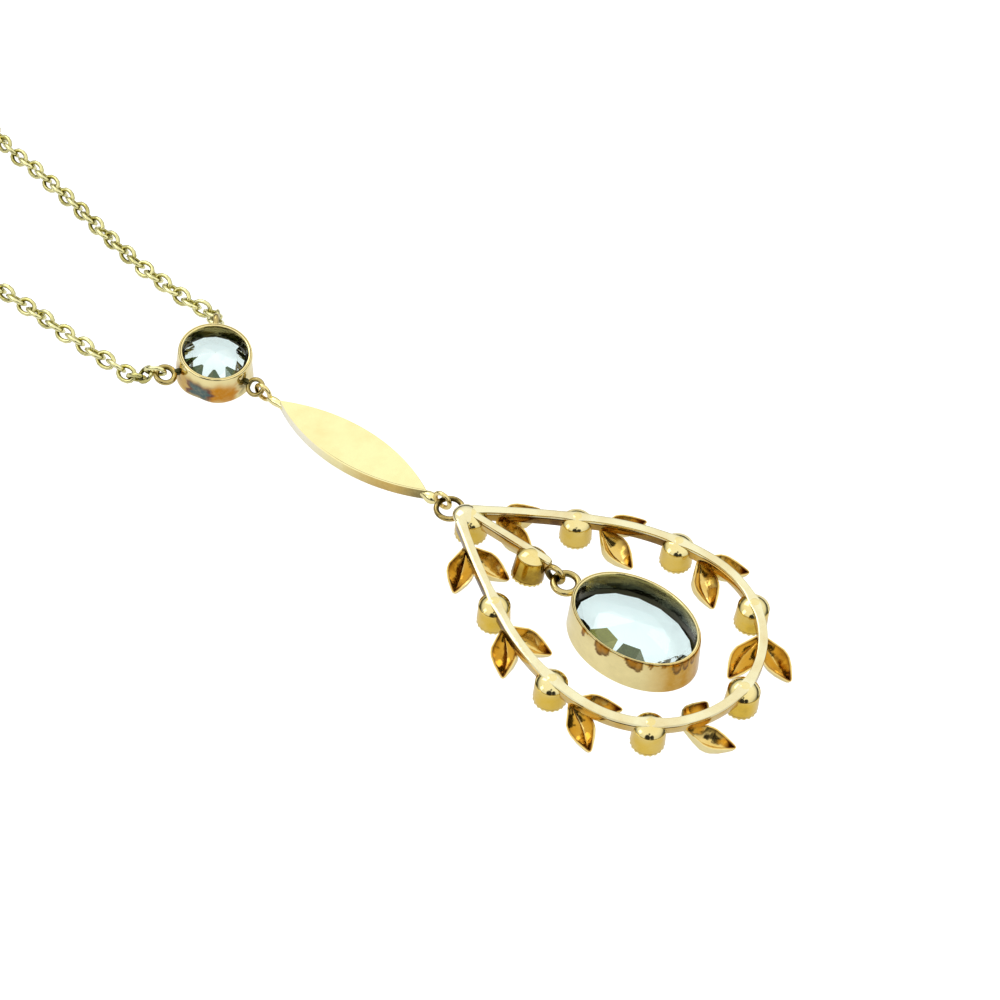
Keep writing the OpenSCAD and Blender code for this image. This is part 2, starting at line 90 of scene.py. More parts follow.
def feed(tree, node, *terms, **settings):
    """Sets up a shader node. A setting in small letters is the node's own, and one with a
    capital is the input of that name, with _ for a space. The terms fill the inputs in their
    order. Another node's output is linked, and any other value is set."""
    for name, value in [*settings.items(), *enumerate(terms)]:
        if str(name).islower():
            setattr(node, name, value)
            continue
        socket = node.inputs[name.replace("_", " ") if isinstance(name, str) else name]
        if isinstance(value, bpy.types.NodeSocket):
            tree.links.new(value, socket)
        else:
            socket.default_value = value
    return node


def add(tree, kind, *terms, **settings):
    """A new shader node of a kind, set up with its terms and settings."""
    return feed(tree, tree.nodes.new("ShaderNode" + kind), *terms, **settings)


def ranged(tree, value, **limits):
    """A value mapped evenly from one range to another, each from 0 to 1 unless it is given."""
    return add(tree, "MapRange", value, **limits).outputs["Result"]


def mixed(tree, share, first, second):
    """A colour that runs from the first to the second with the share."""
    return add(tree, "Mix", data_type="RGBA", Factor=share, A=first, B=second).outputs["Result"]


def toned(tree, value, *stops):
    """A colour that runs with the value through stops, each a position and a colour."""
    made = add(tree, "ValToRGB", value)
    spots = made.color_ramp.elements
    for position, _ in stops[1:-1]:
        spots.new(position)
    for spot, (position, colour) in zip(spots, stops):
        spot.position = position
        spot.color = (*colour, 1)
    return made.outputs["Color"]


world = bpy.data.worlds.new("studio")
bpy.context.scene.world = world
world.use_nodes = True
room = world.node_tree
room.nodes.clear()
view = add(room, "TexCoord").outputs["Generated"]
high = add(room, "SeparateXYZ", view).outputs["Z"]
shade = toned(
    room, high, (0.16, (0.07, 0.07, 0.06)), (0.34, (0.85, 0.85, 0.84)), (0.62, (1.12, 1.12, 1.12)))
# Round dark spots of the room: the way toward the middle, and the radius in degrees. Each is
# told by the dot product of the view with that way, from the cosine of its edge to its core's.
dark_spots = [((-0.797, -0.338, 0.5), 15), ((-0.533, -0.682, 0.5), 11), ((-0.536, -0.363, 0.762), 5)]
spot_edge = 2
for toward, radius in dark_spots:
    near = add(room, "VectorMath", view, toward, operation="DOT_PRODUCT").outputs["Value"]
    edge, core = np.cos(np.radians([radius + spot_edge, radius - spot_edge]))
    kept = ranged(
        room, near, interpolation_type="SMOOTHSTEP", From_Min=edge, From_Max=core, To_Min=1.0, To_Max=0.03)
    shade = add(room, "VectorMath", shade, operation="SCALE", Scale=kept).outputs[0]
by_camera = add(room, "LightPath").outputs["Is Camera Ray"]
glow = add(room, "Background", mixed(room, by_camera, shade, (0.9, 0.9, 0.9, 1)))
add(room, "OutputWorld", glow.outputs[0])


def lamp(name, place, aim, size, power):
    """A square soft light, facing from its place toward the point that it aims at."""
    data = bpy.data.lights.new(name, "AREA")
    data.size = size
    data.energy = power
    made = bpy.data.objects.new(name, data)
    bpy.context.collection.objects.link(made)
    away = np.array(place) - np.array(aim)
    made.location = place
    made.rotation_euler = (
        np.arctan2(np.hypot(away[0], away[1]), away[2]), 0, np.arctan2(away[0], -away[1]))


middle = (0, (pendant_y - 5) / 1000, 0)
lamp("back_light", (0.1, 0.45, 0.62), middle, size=0.4, power=0.8)
lamp("left_light", (-0.6, 0.35, 0.45), middle, size=0.25, power=0.3)


# Floor
# White paper, lit from above, which glows a little more toward the camera and through the
# stones. It counts as the stage and isn't part of the necklace.


def new_material(name):
    """A material with nodes, its node tree and its shader."""
    made = bpy.data.materials.new(name)
    made.use_nodes = True
    return made, made.node_tree, made.node_tree.nodes["Principled BSDF"]


def maths(tree, operation, *terms, **settings):
    """The result of a Math node, such as the first term times the second, plus the third."""
    return add(tree, "Math", *terms, operation=operation, **settings).outputs[0]


floor_half = 3.0
paper_glow = 0.55
more_to_camera = 0.5
more_through_stone = 0.32
floor_mesh = bpy.data.meshes.new("paper")
floor_corners = [(x * floor_half, y * floor_half, 0) for x, y in ((-1, -1), (1, -1), (1, 1), (-1, 1))]
floor_mesh.from_pydata(floor_corners, [], [(0, 1, 2, 3)])
paper, tree, shader = new_material("white_paper")
rays = add(tree, "LightPath").outputs
to_camera = maths(tree, "MULTIPLY_ADD", rays["Is Camera Ray"], more_to_camera, paper_glow)
through_stone = maths(tree, "MULTIPLY_ADD", rays["Is Transmission Ray"], more_through_stone, to_camera)
feed(
    tree, shader, Base_Color=(0.3, 0.3, 0.3, 1), Roughness=0.9,
    Emission_Color=(1, 1, 1, 1), Emission_Strength=through_stone)
floor_mesh.materials.append(paper)
floor = bpy.data.objects.new("paper_floor", floor_mesh)
bpy.context.collection.objects.link(floor)


# Strip and centre bar
# A flat gallery strip of polished gold, bent on edge to a drop shape, with a groove under its
# back edge. The centre bar is of the same strip, with its end filed round.

foot_r = 8.45
shoulder_r = 17.5
shoulder_turn = np.radians(28)
arm_r = 60
arm_l = 10.4
strip_w = 0.7
strip_h = 1.1
strip_z = 2.03
strip_mid_z = strip_z + strip_h / 2
foot_path = foot_r * np.pi / 2
shoulder_path = shoulder_r * shoulder_turn
path_l = foot_path + shoulder_path + arm_l
shoulder_x = foot_r - shoulder_r * (1 - np.cos(shoulder_turn))
shoulder_y = shoulder_r * np.sin(shoulder_turn)
foot_y = -shoulder_y - arm_r * (np.sin(shoulder_turn + arm_l / arm_r) - np.sin(shoulder_turn))
cup_step = path_l / 4


def strip_at(s):
    """Right half of the strip's middle line, s mm from the foot's lowest point: x, y and heading.

    An arc of the foot, then one of the shoulder, then one of the arm. The heading runs from
    the tip to the foot and is measured from -Y toward +X.
    """
    s = np.asarray(s, float)
    a = s / foot_r
    b = (s - foot_path) / shoulder_r
    c = shoulder_turn + (s - foot_path - shoulder_path) / arm_r
    foot = (foot_r * np.sin(a), foot_y - foot_r * np.cos(a), a - np.pi / 2)
    shoulder = (foot_r - shoulder_r * (1 - np.cos(b)), foot_y + shoulder_r * np.sin(b), b)
    arm = (
        shoulder_x - arm_r * (np.cos(shoulder_turn) - np.cos(c)),
        foot_y + shoulder_y + arm_r * (np.sin(c) - np.sin(shoulder_turn)),
        c,
    )
    on_arm = s > foot_path + shoulder_path
    on_foot = s < foot_path
    return [np.where(on_foot, f, np.where(on_arm, r, h)) for f, h, r in zip(foot, shoulder, arm)]


def carried(outline, path, side, rise):
    """An outline carried along a path: path + x of the outline times side + y times rise."""
    sidewise = outline[None, :, :1] * side[:, None]
    body = path[:, None] + sidewise + outline[None, :, 1:] * rise[:, None]
    ends = np.repeat(path[[0, -1]][:, None], len(outline), 1)
    return np.concatenate([ends[:1], body, ends[1:]])


def turns_of(sides):
    """Even steps once round, in radians."""
    return np.linspace(0, 2 * np.pi, sides, endpoint=False)


def turned(radius, height, turns, squash=1.0):
    """A profile turned round Z: its radius times the cosine and sine of the turn, with the
    width squashed, at its height."""
    return np.stack([
        radius * squash * np.cos(turns), radius * np.sin(turns), height * np.ones_like(turns)], -1)


def rising(value, start, length):
    """Nought up to the start, then evenly up to one over the length."""
    return np.clip((value - start) / length, 0, 1)


def in_metres(points):
    """Points of the pendant's own frame in mm, as points of the shared frame in metres."""
    return (points + [0, pendant_y, 0]) / 1000


def painted(mesh, name, values, domain="POINT"):
    """Gives each point or face of a mesh a number, or a colour where there are four of them."""
    values = np.ascontiguousarray(values, np.float32)
    if values.ndim == 1:
        mesh.attributes.new(name, "FLOAT", domain).data.foreach_set("value", values)
    else:
        mesh.attributes.new(name, "FLOAT_COLOR", domain).data.foreach_set("color", values.ravel())


def placed(name, mesh, material, node):
    """A mesh as a piece of the necklace, which is one body. It stands for its CAD node."""
    mesh.materials.append(material)
    made = bpy.data.objects.new(name, mesh)
    bpy.context.collection.objects.link(made)
    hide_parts(node)
    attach(made, "root")


def piece(name, patches, material, node, crease=32.0):
    """One mesh from closed patches. A patch is a grid of points in mm whose columns close on
    themselves, a mark from 0 to 1 of painted shade and grime at each point, deepest in hollows
    and creases, and where it has them, the colour and amount at each point of its stains and of
    its painted reflections, highlights and shade. A patch that is inside out, told by the sum of
    its corners' triple products, has its faces turned."""
    corners = []
    quads = []
    marks = []
    stains_and_painted_light = []
    start = 0
    for grid, mark, *stain_and_painted_light in patches:
        rows, columns = grid.shape[:2]
        r = np.arange(rows - 1)[:, None] * columns
        c = np.arange(columns)[None, :]
        d = (c + 1) % columns
        faces = np.stack([r + c, r + d, r + columns + d, r + columns + c], -1).reshape(-1, 4)
        flat = grid.reshape(-1, 3)
        centred = flat - flat.mean(0)
        p, q, s, t = (centred[faces[:, k]] for k in range(4))
        volume = (p * (np.cross(q, s) + np.cross(s, t))).sum()
        corners.append(flat)
        quads.append((faces if volume > 0 else faces[:, ::-1]) + start)
        marks.append(np.broadcast_to(mark, (rows, columns)).reshape(-1))
        stains_and_painted_light.append(stain_and_painted_light[0].reshape(-1, 4) if stain_and_painted_light else np.zeros((rows * columns, 4)))
        start += len(flat)
    mesh = bpy.data.meshes.new(name)
    mesh.from_pydata(in_metres(np.concatenate(corners)), [], np.concatenate(quads).tolist())
    stains_and_painted_light = np.concatenate(stains_and_painted_light)
    painted(mesh, "shade_and_grime", np.concatenate(marks))
    painted(mesh, "stain_and_painted_light_amount", stains_and_painted_light[:, 3])
    stains_and_painted_light[:, 3] = 1
    painted(mesh, "stain_and_painted_light", stains_and_painted_light)
    work = bmesh.new()
    work.from_mesh(mesh)
    bmesh.ops.remove_doubles(work, verts=work.verts, dist=2e-7)
    bmesh.ops.dissolve_degenerate(work, edges=work.edges, dist=1e-8)
    work.to_mesh(mesh)
    work.free()
    mesh.polygons.foreach_set("use_smooth", np.ones(len(mesh.polygons), bool))
    mesh.set_sharp_from_angle(angle=np.radians(crease))
    placed(name, mesh, material, node)


def wear_group():
    """Old polished metal. Its tone drifts over the surface from bright to deep and on to grime, and
    the shade_and_grime mark darkens it further: painted shade in hollows and creases, with some
    grime. Stains and painted reflections, highlights and shade lie over it, and it has scuffs and
    shallow dents."""
    group = bpy.data.node_groups.new("worn_metal", "ShaderNodeTree")
    for direction, kind, names in [
        ("INPUT", "Color", ["Bright", "Deep", "Grime"]),
        ("INPUT", "Float", ["Drift", "Smooth", "Matt", "Dents"]),
        ("OUTPUT", "Color", ["Colour"]),
        ("OUTPUT", "Float", ["Roughness"]),
        ("OUTPUT", "Vector", ["Normal"]),
    ]:
        for name in names:
            group.interface.new_socket(name=name, in_out=direction, socket_type="NodeSocket" + kind)
    given = group.nodes.new("NodeGroupInput").outputs
    place = add(group, "TexCoord").outputs["Object"]
    drift, scuff, dent, speck = (
        add(group, "TexNoise", Vector=place, Scale=scale, Detail=detail, Roughness=rough).outputs["Fac"]
        for scale, detail, rough in ((420, 4, 0.6), (3800, 5, 0.7), (900, 2, 0.5), (2600, 3, 0.65)))
    shade_and_grime, stain_and_painted_light_amount, stain_and_painted_light = (
        add(group, "Attribute", attribute_name=name).outputs for name in ("shade_and_grime", "stain_and_painted_light_amount", "stain_and_painted_light"))
    tone = ranged(group, drift, From_Min=0.38, From_Max=0.7)
    share = maths(group, "MULTIPLY_ADD", tone, given["Drift"], shade_and_grime["Fac"], use_clamp=True)
    deep_share = 0.65
    colour = mixed(group, ranged(group, share, From_Max=deep_share), given["Bright"], given["Deep"])
    colour = mixed(group, ranged(group, share, From_Min=deep_share), colour, given["Grime"])
    broken = ranged(group, speck, From_Min=0.3, From_Max=0.6, To_Min=0.86)
    colour = mixed(group, maths(group, "MULTIPLY", stain_and_painted_light_amount["Fac"], broken), colour, stain_and_painted_light["Color"])
    polish = ranged(
        group, scuff, From_Min=0.35, From_Max=0.75, To_Min=given["Smooth"], To_Max=given["Matt"])
    dull = maths(group, "MULTIPLY_ADD", shade_and_grime["Fac"], 0.1, polish)
    dented = add(group, "Bump", Distance=0.00006, Height=dent, Strength=given["Dents"])
    scuffed = add(
        group, "Bump", Distance=0.000004, Strength=0.5, Height=scuff, Normal=dented.outputs["Normal"])
    result = group.nodes.new("NodeGroupOutput")
    feed(group, result, Colour=colour, Roughness=dull, Normal=scuffed.outputs["Normal"])
    return group


worn_metal = wear_group()


def gold(name, bright, deep, grime_and_shade, drift, smooth, matt, dents):
    """A gold whose tone runs from bright over deep to grime and painted shade, and its polish from
    smooth to matt.
    """
    made, tree, shader = new_material(name)
    worn = add(
        tree, "Group", node_tree=worn_metal, Bright=(*bright, 1), Deep=(*deep, 1), Grime=(*grime_and_shade, 1),
        Drift=drift, Smooth=smooth, Matt=matt, Dents=dents).outputs
    feed(
        tree, shader, Metallic=1.0, Base_Color=worn["Colour"], Roughness=worn["Roughness"],
        Normal=worn["Normal"])
    return made


polished_gold = gold(
    "polished_gold", bright=(0.87, 0.82, 0.52), deep=(0.62, 0.38, 0.07), grime_and_shade=(0.12, 0.06, 0.02),
    drift=0.25, smooth=0.04, matt=0.13, dents=0.3)

half = np.concatenate([
    np.linspace(0, foot_path, 60, endpoint=False),
    np.linspace(foot_path, foot_path + shoulder_path, 34, endpoint=False),
    np.linspace(foot_path + shoulder_path, path_l, 30),
])
x, y, heading = strip_at(half)
x = np.concatenate([-x[:0:-1], x])
y = np.concatenate([y[:0:-1], y])
heading = np.concatenate([-heading[:0:-1] + np.pi, heading])
middle_line = np.stack([x, y, np.full(len(x), strip_mid_z)], -1)
sideways = np.stack([np.cos(heading), np.sin(heading), np.zeros(len(x))], -1)
upward = np.broadcast_to([0.0, 0, 1], sideways.shape)
# Solder widens the strip where it crosses each cup, from the foot's to the tip's.
solder_swell = np.array([0.35, 0.35, 0.35, 0.35, 0.2])
solder_reach = 0.75
from_cup = np.concatenate([half[:0:-1], half])[:, None] - cup_step * np.arange(5)
swell = 1 + (solder_swell * np.exp(-(from_cup / solder_reach) ** 2)).sum(1, keepdims=True)
# A flat back 0.3 deep, a groove 0.05 deep under it, and a slightly narrower body.
half_w = strip_w / 2
top = strip_h / 2
right_side = [
    (0, top), (half_w - 0.1, top), (half_w - 0.03, top - 0.03), (half_w, top - 0.1),
    (half_w, top - 0.24), (half_w - 0.02, top - 0.28), (half_w - 0.07, top - 0.31),
    (half_w - 0.07, top - 0.35), (half_w - 0.03, top - 0.39), (half_w - 0.02, top - 0.44),
    (half_w - 0.02, 0.08 - top), (half_w - 0.05, 0.02 - top), (half_w - 0.1, -top),
]
strip_outline = np.array(right_side + [(-p, q) for p, q in right_side[:0:-1]])
out_x, out_y = strip_outline.T
# The groove is painted darkest and the lower flanks less: painted shade.
groove = np.abs(out_y - (top - 0.33)) < 0.03
flank = (np.abs(out_x) > half_w - 0.12) & (out_y < top - 0.36)
strip_mark = np.where(groove, 1, np.where(flank, 0.4, 0))[None, :]
strip_grid = carried(strip_outline, middle_line, sideways * swell, upward)
# The inner side of the right arm is painted brown, and so is the outer side of the left arm as
# far as its second cup: painted shade, the dark reflection of the paper in the strip's shadow.
strip_x, strip_y = strip_grid[:, :1, 0], strip_grid[:, :1, 1]
inner_side = (out_x < -half_w + 0.15) & (out_y < top - 0.35)
outer_side = (out_x > half_w - 0.15) & (out_y < top - 0.1)
right_painted_shade = 0.78 * rising(strip_x, 0.2, 0.6) * rising(strip_y, -19, 4)
left_painted_shade = 0.85 * rising(-strip_x, 0.3, 0.6) * rising(strip_y, -13, 3)
arm_mark = np.maximum(strip_mark, np.maximum(right_painted_shade * inner_side, left_painted_shade * outer_side))

bar_x = 0.4
bar_w = 0.6
bar_l = 7.75
# Way along Y, and share of the bar's width there
bar_form = np.array([
    (-0.2, 1), (-0.6, 1), (-3, 1), (-5, 1), (-7, 1), (-7.3, 0.98), (-7.5, 0.88), (-7.64, 0.7),
    (-7.72, 0.5), (-bar_l, 0.3)])
bar_path = [bar_x, 0, strip_mid_z] + bar_form[:, :1] * [0, 1, 0]
bar_side = bar_form[:, 1:] * [1, 0, 0]
bar_rise = (0.25 + 0.75 * bar_form[:, 1:]) * [0, 0, 1]
bar_grid = carried(strip_outline * [bar_w / strip_w, 1], bar_path, bar_side, bar_rise)

# A rounded lump of solder joins both arms and the bar at the tip.
lump_lean = np.linspace(0, np.pi, 17)[:, None]
lump = turned(np.sin(lump_lean), 0.5 * np.cos(lump_lean), turns_of(32), 1.05) + [0.15, 0.25, 2.72]
strip_patches = [(strip_grid, arm_mark), (bar_grid, strip_mark), (lump, 0.0)]
piece("wreath_strip", strip_patches, polished_gold, "wreath")


# Cups
# Nine turned gold cups, closed by a low dome at the back. Each stands on its milgrain edge, a
# row of small beads rolled over its pearl, and a fine line runs round under the dome. Painted
# shade darkens that line and the bore fully, and the walls by half.

cup_z = 0.5
cup_wall_h = 2.1
cup_dome_h = 0.57
cup_dome_r = 1.17
bore_r = 1.14
bore_h = 1.66
milgrain_beads = 20
bar_cup_y = -6.1
bar_cup_lean = np.radians(15)
bar_apex = np.array([bar_x, bar_cup_y, cup_z + cup_wall_h + cup_dome_h])
tip_place = (bar_x, -tip_below_zero)
foot_place = (0, foot_y - foot_r)


def turned_cup():
    """A profile turned round Z: dome, wall, beads and bore. Between two beads the metal goes in
    and up, by one half and half the cosine of the turn times the number of beads."""
    ball = (cup_dome_r**2 + cup_dome_h**2) / (2 * cup_dome_h)
    dome_turns = np.linspace(0, 1, 12) * np.arcsin(cup_dome_r / ball)
    dome = [(ball * np.sin(t), cup_wall_h + cup_dome_h - ball * (1 - np.cos(t)), 0) for t in dome_turns]
    # Radius, height, and mark of painted shade
    wall = [
        (1.15, cup_wall_h - 0.02, 1), (1.16, cup_wall_h - 0.04, 1), (1.19, cup_wall_h - 0.05, 0.5),
        (1.205, cup_wall_h - 0.08, 0.3), (1.212, cup_wall_h - 0.2, 0.4), (1.235, 1.4, 0.5),
        (1.26, 0.8, 0.5), (1.275, 0.5, 0.5), (1.28, 0.36, 0.5), (1.262, 0.31, 0.85), (1.262, 0.29, 0.85),
    ]
    bore = [(bore_r, 0.1, 0.8), (bore_r, 0.9, 1), (bore_r, bore_h, 1), (0, bore_h, 1)]
    # The same, and how far in and up the metal goes between the beads
    beads = [
        (1.275, 0.25, 0.4, 0.03, 0), (1.295, 0.19, 0.1, 0.055, 0), (1.3, 0.12, 0, 0.06, 0),
        (1.285, 0.05, 0, 0.06, 0.04), (1.25, 0.01, 0, 0.055, 0.07), (1.2, 0, 0.1, 0.03, 0.05),
        (1.155, 0.04, 0.5, 0.01, 0.01),
    ]
    profile = np.array([(*row, 0, 0) for row in dome + wall] + beads + [(*row, 0, 0) for row in bore])
    radius, height, mark, inward, lift = (profile[:, k:k + 1] for k in range(5))
    turns = turns_of(milgrain_beads * 6)
    between_beads = 0.5 + 0.5 * np.cos(milgrain_beads * turns)
    return turned(radius - inward * between_beads, height + lift * between_beads, turns), mark


def rotated(points, axis, angle):
    """Points turned about X, Y or Z, written as 0, 1 or 2. Of the two coordinates that follow it
    in the round of XYZ, the first becomes itself times the cosine less the second times the
    sine, and the second becomes the first times the sine plus itself times the cosine."""
    p, q = (axis + 1) % 3, (axis + 2) % 3
    made = np.array(points, float)
    made[..., p] = points[..., p] * np.cos(angle) - points[..., q] * np.sin(angle)
    made[..., q] = points[..., p] * np.sin(angle) + points[..., q] * np.cos(angle)
    return made


def leaned(points):
    """Points of the cup on the bar, leaned about Y through the middle of its back."""
    return rotated(points - bar_apex, 1, bar_cup_lean) + bar_apex


cup_grid, cup_mark = turned_cup()
side_x, side_y, _ = strip_at(cup_step * np.arange(1, 4))
cup_places = [tip_place, foot_place, *zip(-side_x, side_y), *zip(side_x, side_y)]
cups = [(cup_grid + [px, py, cup_z], cup_mark) for px, py in cup_places]
# The cup on the bar is browner than the others: its mark of painted shade and grime is raised.
cups.append((leaned(cup_grid + [bar_x, bar_cup_y, cup_z]), 0.12 + 1.4 * cup_mark))
satin_gold = gold(
    "satin_gold", bright=(0.86, 0.75, 0.37), deep=(0.78, 0.53, 0.07), grime_and_shade=(0.2, 0.11, 0.02),
    drift=0.25, smooth=0.05, matt=0.16, dents=0.4)
piece("wreath_cups", cups, satin_gold, "wreath", crease=50)


# Leaves
# Sixteen hollow leaves stamped from gold sheet, soldered in pairs along the strip with their
# open side to the back. Inside they are a little matt and carry painted shade, deepest by the
# rims and toward the point; outside they are polished.

leaf_l = 4.1
leaf_w = 2.0
leaf_d = 1.02
leaf_rim = 0.14
leaf_rim_h = 0.015
leaf_sheet = 0.16
leaf_z = 2.23
leaf_start = 1.9
leaf_steep = 0.55
foot_leaf_shift = 0.6
outer_splay, inner_splay, outer_dip, inner_dip = np.radians([29, 42, 14, 20])
# Share of the way to the point, share of the half width, share of the depth
leaf_form = np.array([
    (0.0, 0.0, 0.0), (0.01, 0.2, 0.35), (0.08, 0.34, 0.5), (0.25, 0.66, 0.8), (0.42, 0.97, 0.98),
    (0.52, 1.0, 1.0), (0.6, 0.96, 0.98), (0.75, 0.73, 0.85), (0.88, 0.43, 0.62), (0.96, 0.23, 0.42),
    (0.99, 0.12, 0.25), (1.0, 0.0, 0.0)])
# How much the leaves differ: turn and dip in radians, share of the width, and twist
leaf_play = [0.03, 0.03, 0.04, 0.25]


def hollow_leaf(wide, twist):
    """A trough closed at both ends. Across, its outer wall is half a superellipse, with x as the
    cosine and z as the sine to the power 0.55, so that it stands steep at the rim. The inner wall
    falls to a crease, which wanders to one side by the twist, and a thin flat rim joins them."""
    way = np.unique(np.concatenate([leaf_form[:, 0], np.linspace(0.02, 0.98, 25)]))[:, None]
    half = np.interp(way, leaf_form[:, 0], leaf_form[:, 1]) * leaf_w / 2 * wide
    deep = np.interp(way, leaf_form[:, 0], leaf_form[:, 2]) * leaf_d
    turn = np.radians([180, 176, 168, 155, 138, 115, 90, 65, 42, 25, 12, 4, 0])
    out = np.sign(np.cos(turn)) * np.abs(np.cos(turn)) ** leaf_steep
    sink = np.sin(turn).clip(0) ** leaf_steep
    inn = np.array([1, 0.96, 0.8, 0.55, 0.3, 0.1, 0, -0.1, -0.3, -0.55, -0.8, -0.96, -1])
    bend = twist * np.sin(np.pi * way) * deep
    inner_half = np.maximum(half - leaf_rim, half * 0.3)
    inner_deep = np.maximum(deep - leaf_sheet, deep * 0.35)
    x = np.concatenate([half * out + bend * sink, inner_half * inn + bend * (1 - np.abs(inn))], 1)
    z = np.concatenate([-deep * sink, -leaf_rim_h - inner_deep * (1 - np.abs(inn) ** 1.5)], 1)
    inside = np.arange(x.shape[1]) >= out.size
    y = -leaf_l * np.where(inside, way * 0.955 + 0.015, way)
    # Inside, the leaf is painted with shade, deeper by the rims and toward the point.
    edge = np.concatenate([np.zeros_like(out), np.abs(inn) ** 6])
    mark = np.where(inside, 0.46 + 0.34 * edge + 0.5 * rising(way, 0.8, 0.15), 0.1)
    return np.stack([x, y, z], -1), mark


leaves = []
by_hand = np.random.default_rng(11)
leaf_from = path_l - cup_step * np.arange(4) - leaf_start - np.array([0, 0, 0, foot_leaf_shift])
for bx, by, turn in zip(*strip_at(leaf_from)):
    for side in (1, -1):
        for splay, dip in ((outer_splay, outer_dip), (-inner_splay, inner_dip)):
            turned_by, dipped_by, wider, twist = by_hand.normal(0, leaf_play)
            leaf, leaf_mark = hollow_leaf(1 + wider, twist)
            leaf = rotated(rotated(leaf, 0, dip + dipped_by), 2, turn + splay + turned_by)
            leaves.append(((leaf + [bx, by, leaf_z]) * [side, 1, 1], leaf_mark))
leaf_gold = gold(
    "leaf_gold", bright=(0.92, 0.82, 0.44), deep=(0.74, 0.5, 0.12), grime_and_shade=(0.18, 0.07, 0.015),
    drift=0.3, smooth=0.05, matt=0.16, dents=0.7)
piece("wreath_leaves", leaves, leaf_gold, "wreath", crease=24)


# Tip ring and bar loop
# Round gold wire. The ring at the tip takes the navette's loop, and the loop at the bar's end
# takes the ring of the oval drop.


def unit(vectors):
    """Each vector divided by its length."""
    return vectors / np.linalg.norm(vectors, axis=-1, keepdims=True)


def wire_loop(centre, radius, wire, axis, sides=48, wire_sides=16):
    """Round wire bent to a circle: the circle's point plus the wire's own circle, spanned by
    the way outwards and the axis."""
    axis = unit(np.array(axis))
    first = unit(np.cross(axis, [0, 0, 1] if abs(axis[2]) < 0.9 else [1, 0, 0]))
    second = np.cross(axis, first)
    turns = np.linspace(0, 2 * np.pi, sides + 1)[:, None, None]
    out = np.cos(turns) * first + np.sin(turns) * second
    round_wire = turns_of(wire_sides)[None, :, None]
    grid = centre + radius * out + wire / 2 * (np.cos(round_wire) * out + np.sin(round_wire) * axis)
    # The wire carries painted shade, deeper on its inner side.
    inner = np.broadcast_to(-np.cos(round_wire[..., 0]), (sides + 1, wire_sides))
    return grid, 0.25 + 0.45 * np.clip(inner, 0, 1)


upright_axis = (0, 0, 1)
level_axis = (1, 0, 0)
wreath_rings = [
    wire_loop((0.686, 2.192, 1.5), radius=1.05, wire=0.44, axis=upright_axis),
    wire_loop((0.3, -8.233, 2.0), radius=0.7, wire=0.48, axis=level_axis),
]
wire_gold = gold(
    "wire_gold", bright=(0.82, 0.7, 0.34), deep=(0.46, 0.34, 0.11), grime_and_shade=(0.08, 0.06, 0.02),
    drift=1.0, smooth=0.06, matt=0.18, dents=0.6)
piece("wreath_rings", wreath_rings, wire_gold, "wreath")


# Pearls of the wreath
# Nine round seed pearls, cream white with a faint rosy tone that drifts, under a clear gloss.
# Each is held by its cup's milgrain edge and lies on the paper.

nacre, tree, shader = new_material("nacre")
place = add(tree, "TexCoord").outputs["Object"]
cloud = add(tree, "TexNoise", Vector=place, Scale=700, Detail=3).outputs["Fac"]
skin = add(tree, "Bump", Distance=0.00002, Strength=0.3, Height=cloud)
feed(
    tree, shader, Base_Color=toned(tree, cloud, (0.35, (0.86, 0.78, 0.66)), (0.68, (0.88, 0.84, 0.8))),
    Roughness=0.28, Coat_Weight=0.6, Coat_Roughness=0.12, Normal=skin.outputs["Normal"])

pearl_r = 1.02
pearl_waver = 0.02


def pearl(centre):
    """A ball whose radius wavers a little with the turn, most halfway up."""
    lean = np.linspace(0, np.pi, 25)[:, None]
    turns = turns_of(32)
    waver = pearl_waver * (0.5 + 0.5 * np.sin(2 * turns + centre[1])) * np.sin(lean) ** 2
    return turned(pearl_r * (1 - waver) * np.sin(lean), pearl_r * np.cos(lean), turns) + centre


pearl_places = {"pearl_tip": tip_place, "pearl_foot": foot_place}
for k, (px, py) in enumerate(zip(side_x, side_y)):
    pearl_places[f"pearl_right_{3 - k}"] = (px, py)
    pearl_places[f"pearl_left_{3 - k}"] = (-px, py)
pearl_centres = {node: np.array([*place, pearl_r]) for node, place in pearl_places.items()}
pearl_centres["pearl_bar"] = leaned(np.array([bar_x, bar_cup_y, pearl_r]))
for node, centre in pearl_centres.items():
    piece(f"{node}_nacre", [(pearl(centre), 0.0)], nacre, node, crease=180)


# Oval drop
# An open-backed oval setting bent up from gold sheet, with a lip turned in under its stone
# and a wire ring soldered to its end. The stone is a pale aquamarine, table down.

oval_centre = np.array([0.04, -15.75, 0])
oval_w = 3.82
oval_l = 5.45
oval_h = 3.15
oval_draft = 0.17
collet_wall = 0.35
collet_sides = 240
lip_w = 0.25
lip_h = 0.25
wall_rows = 44


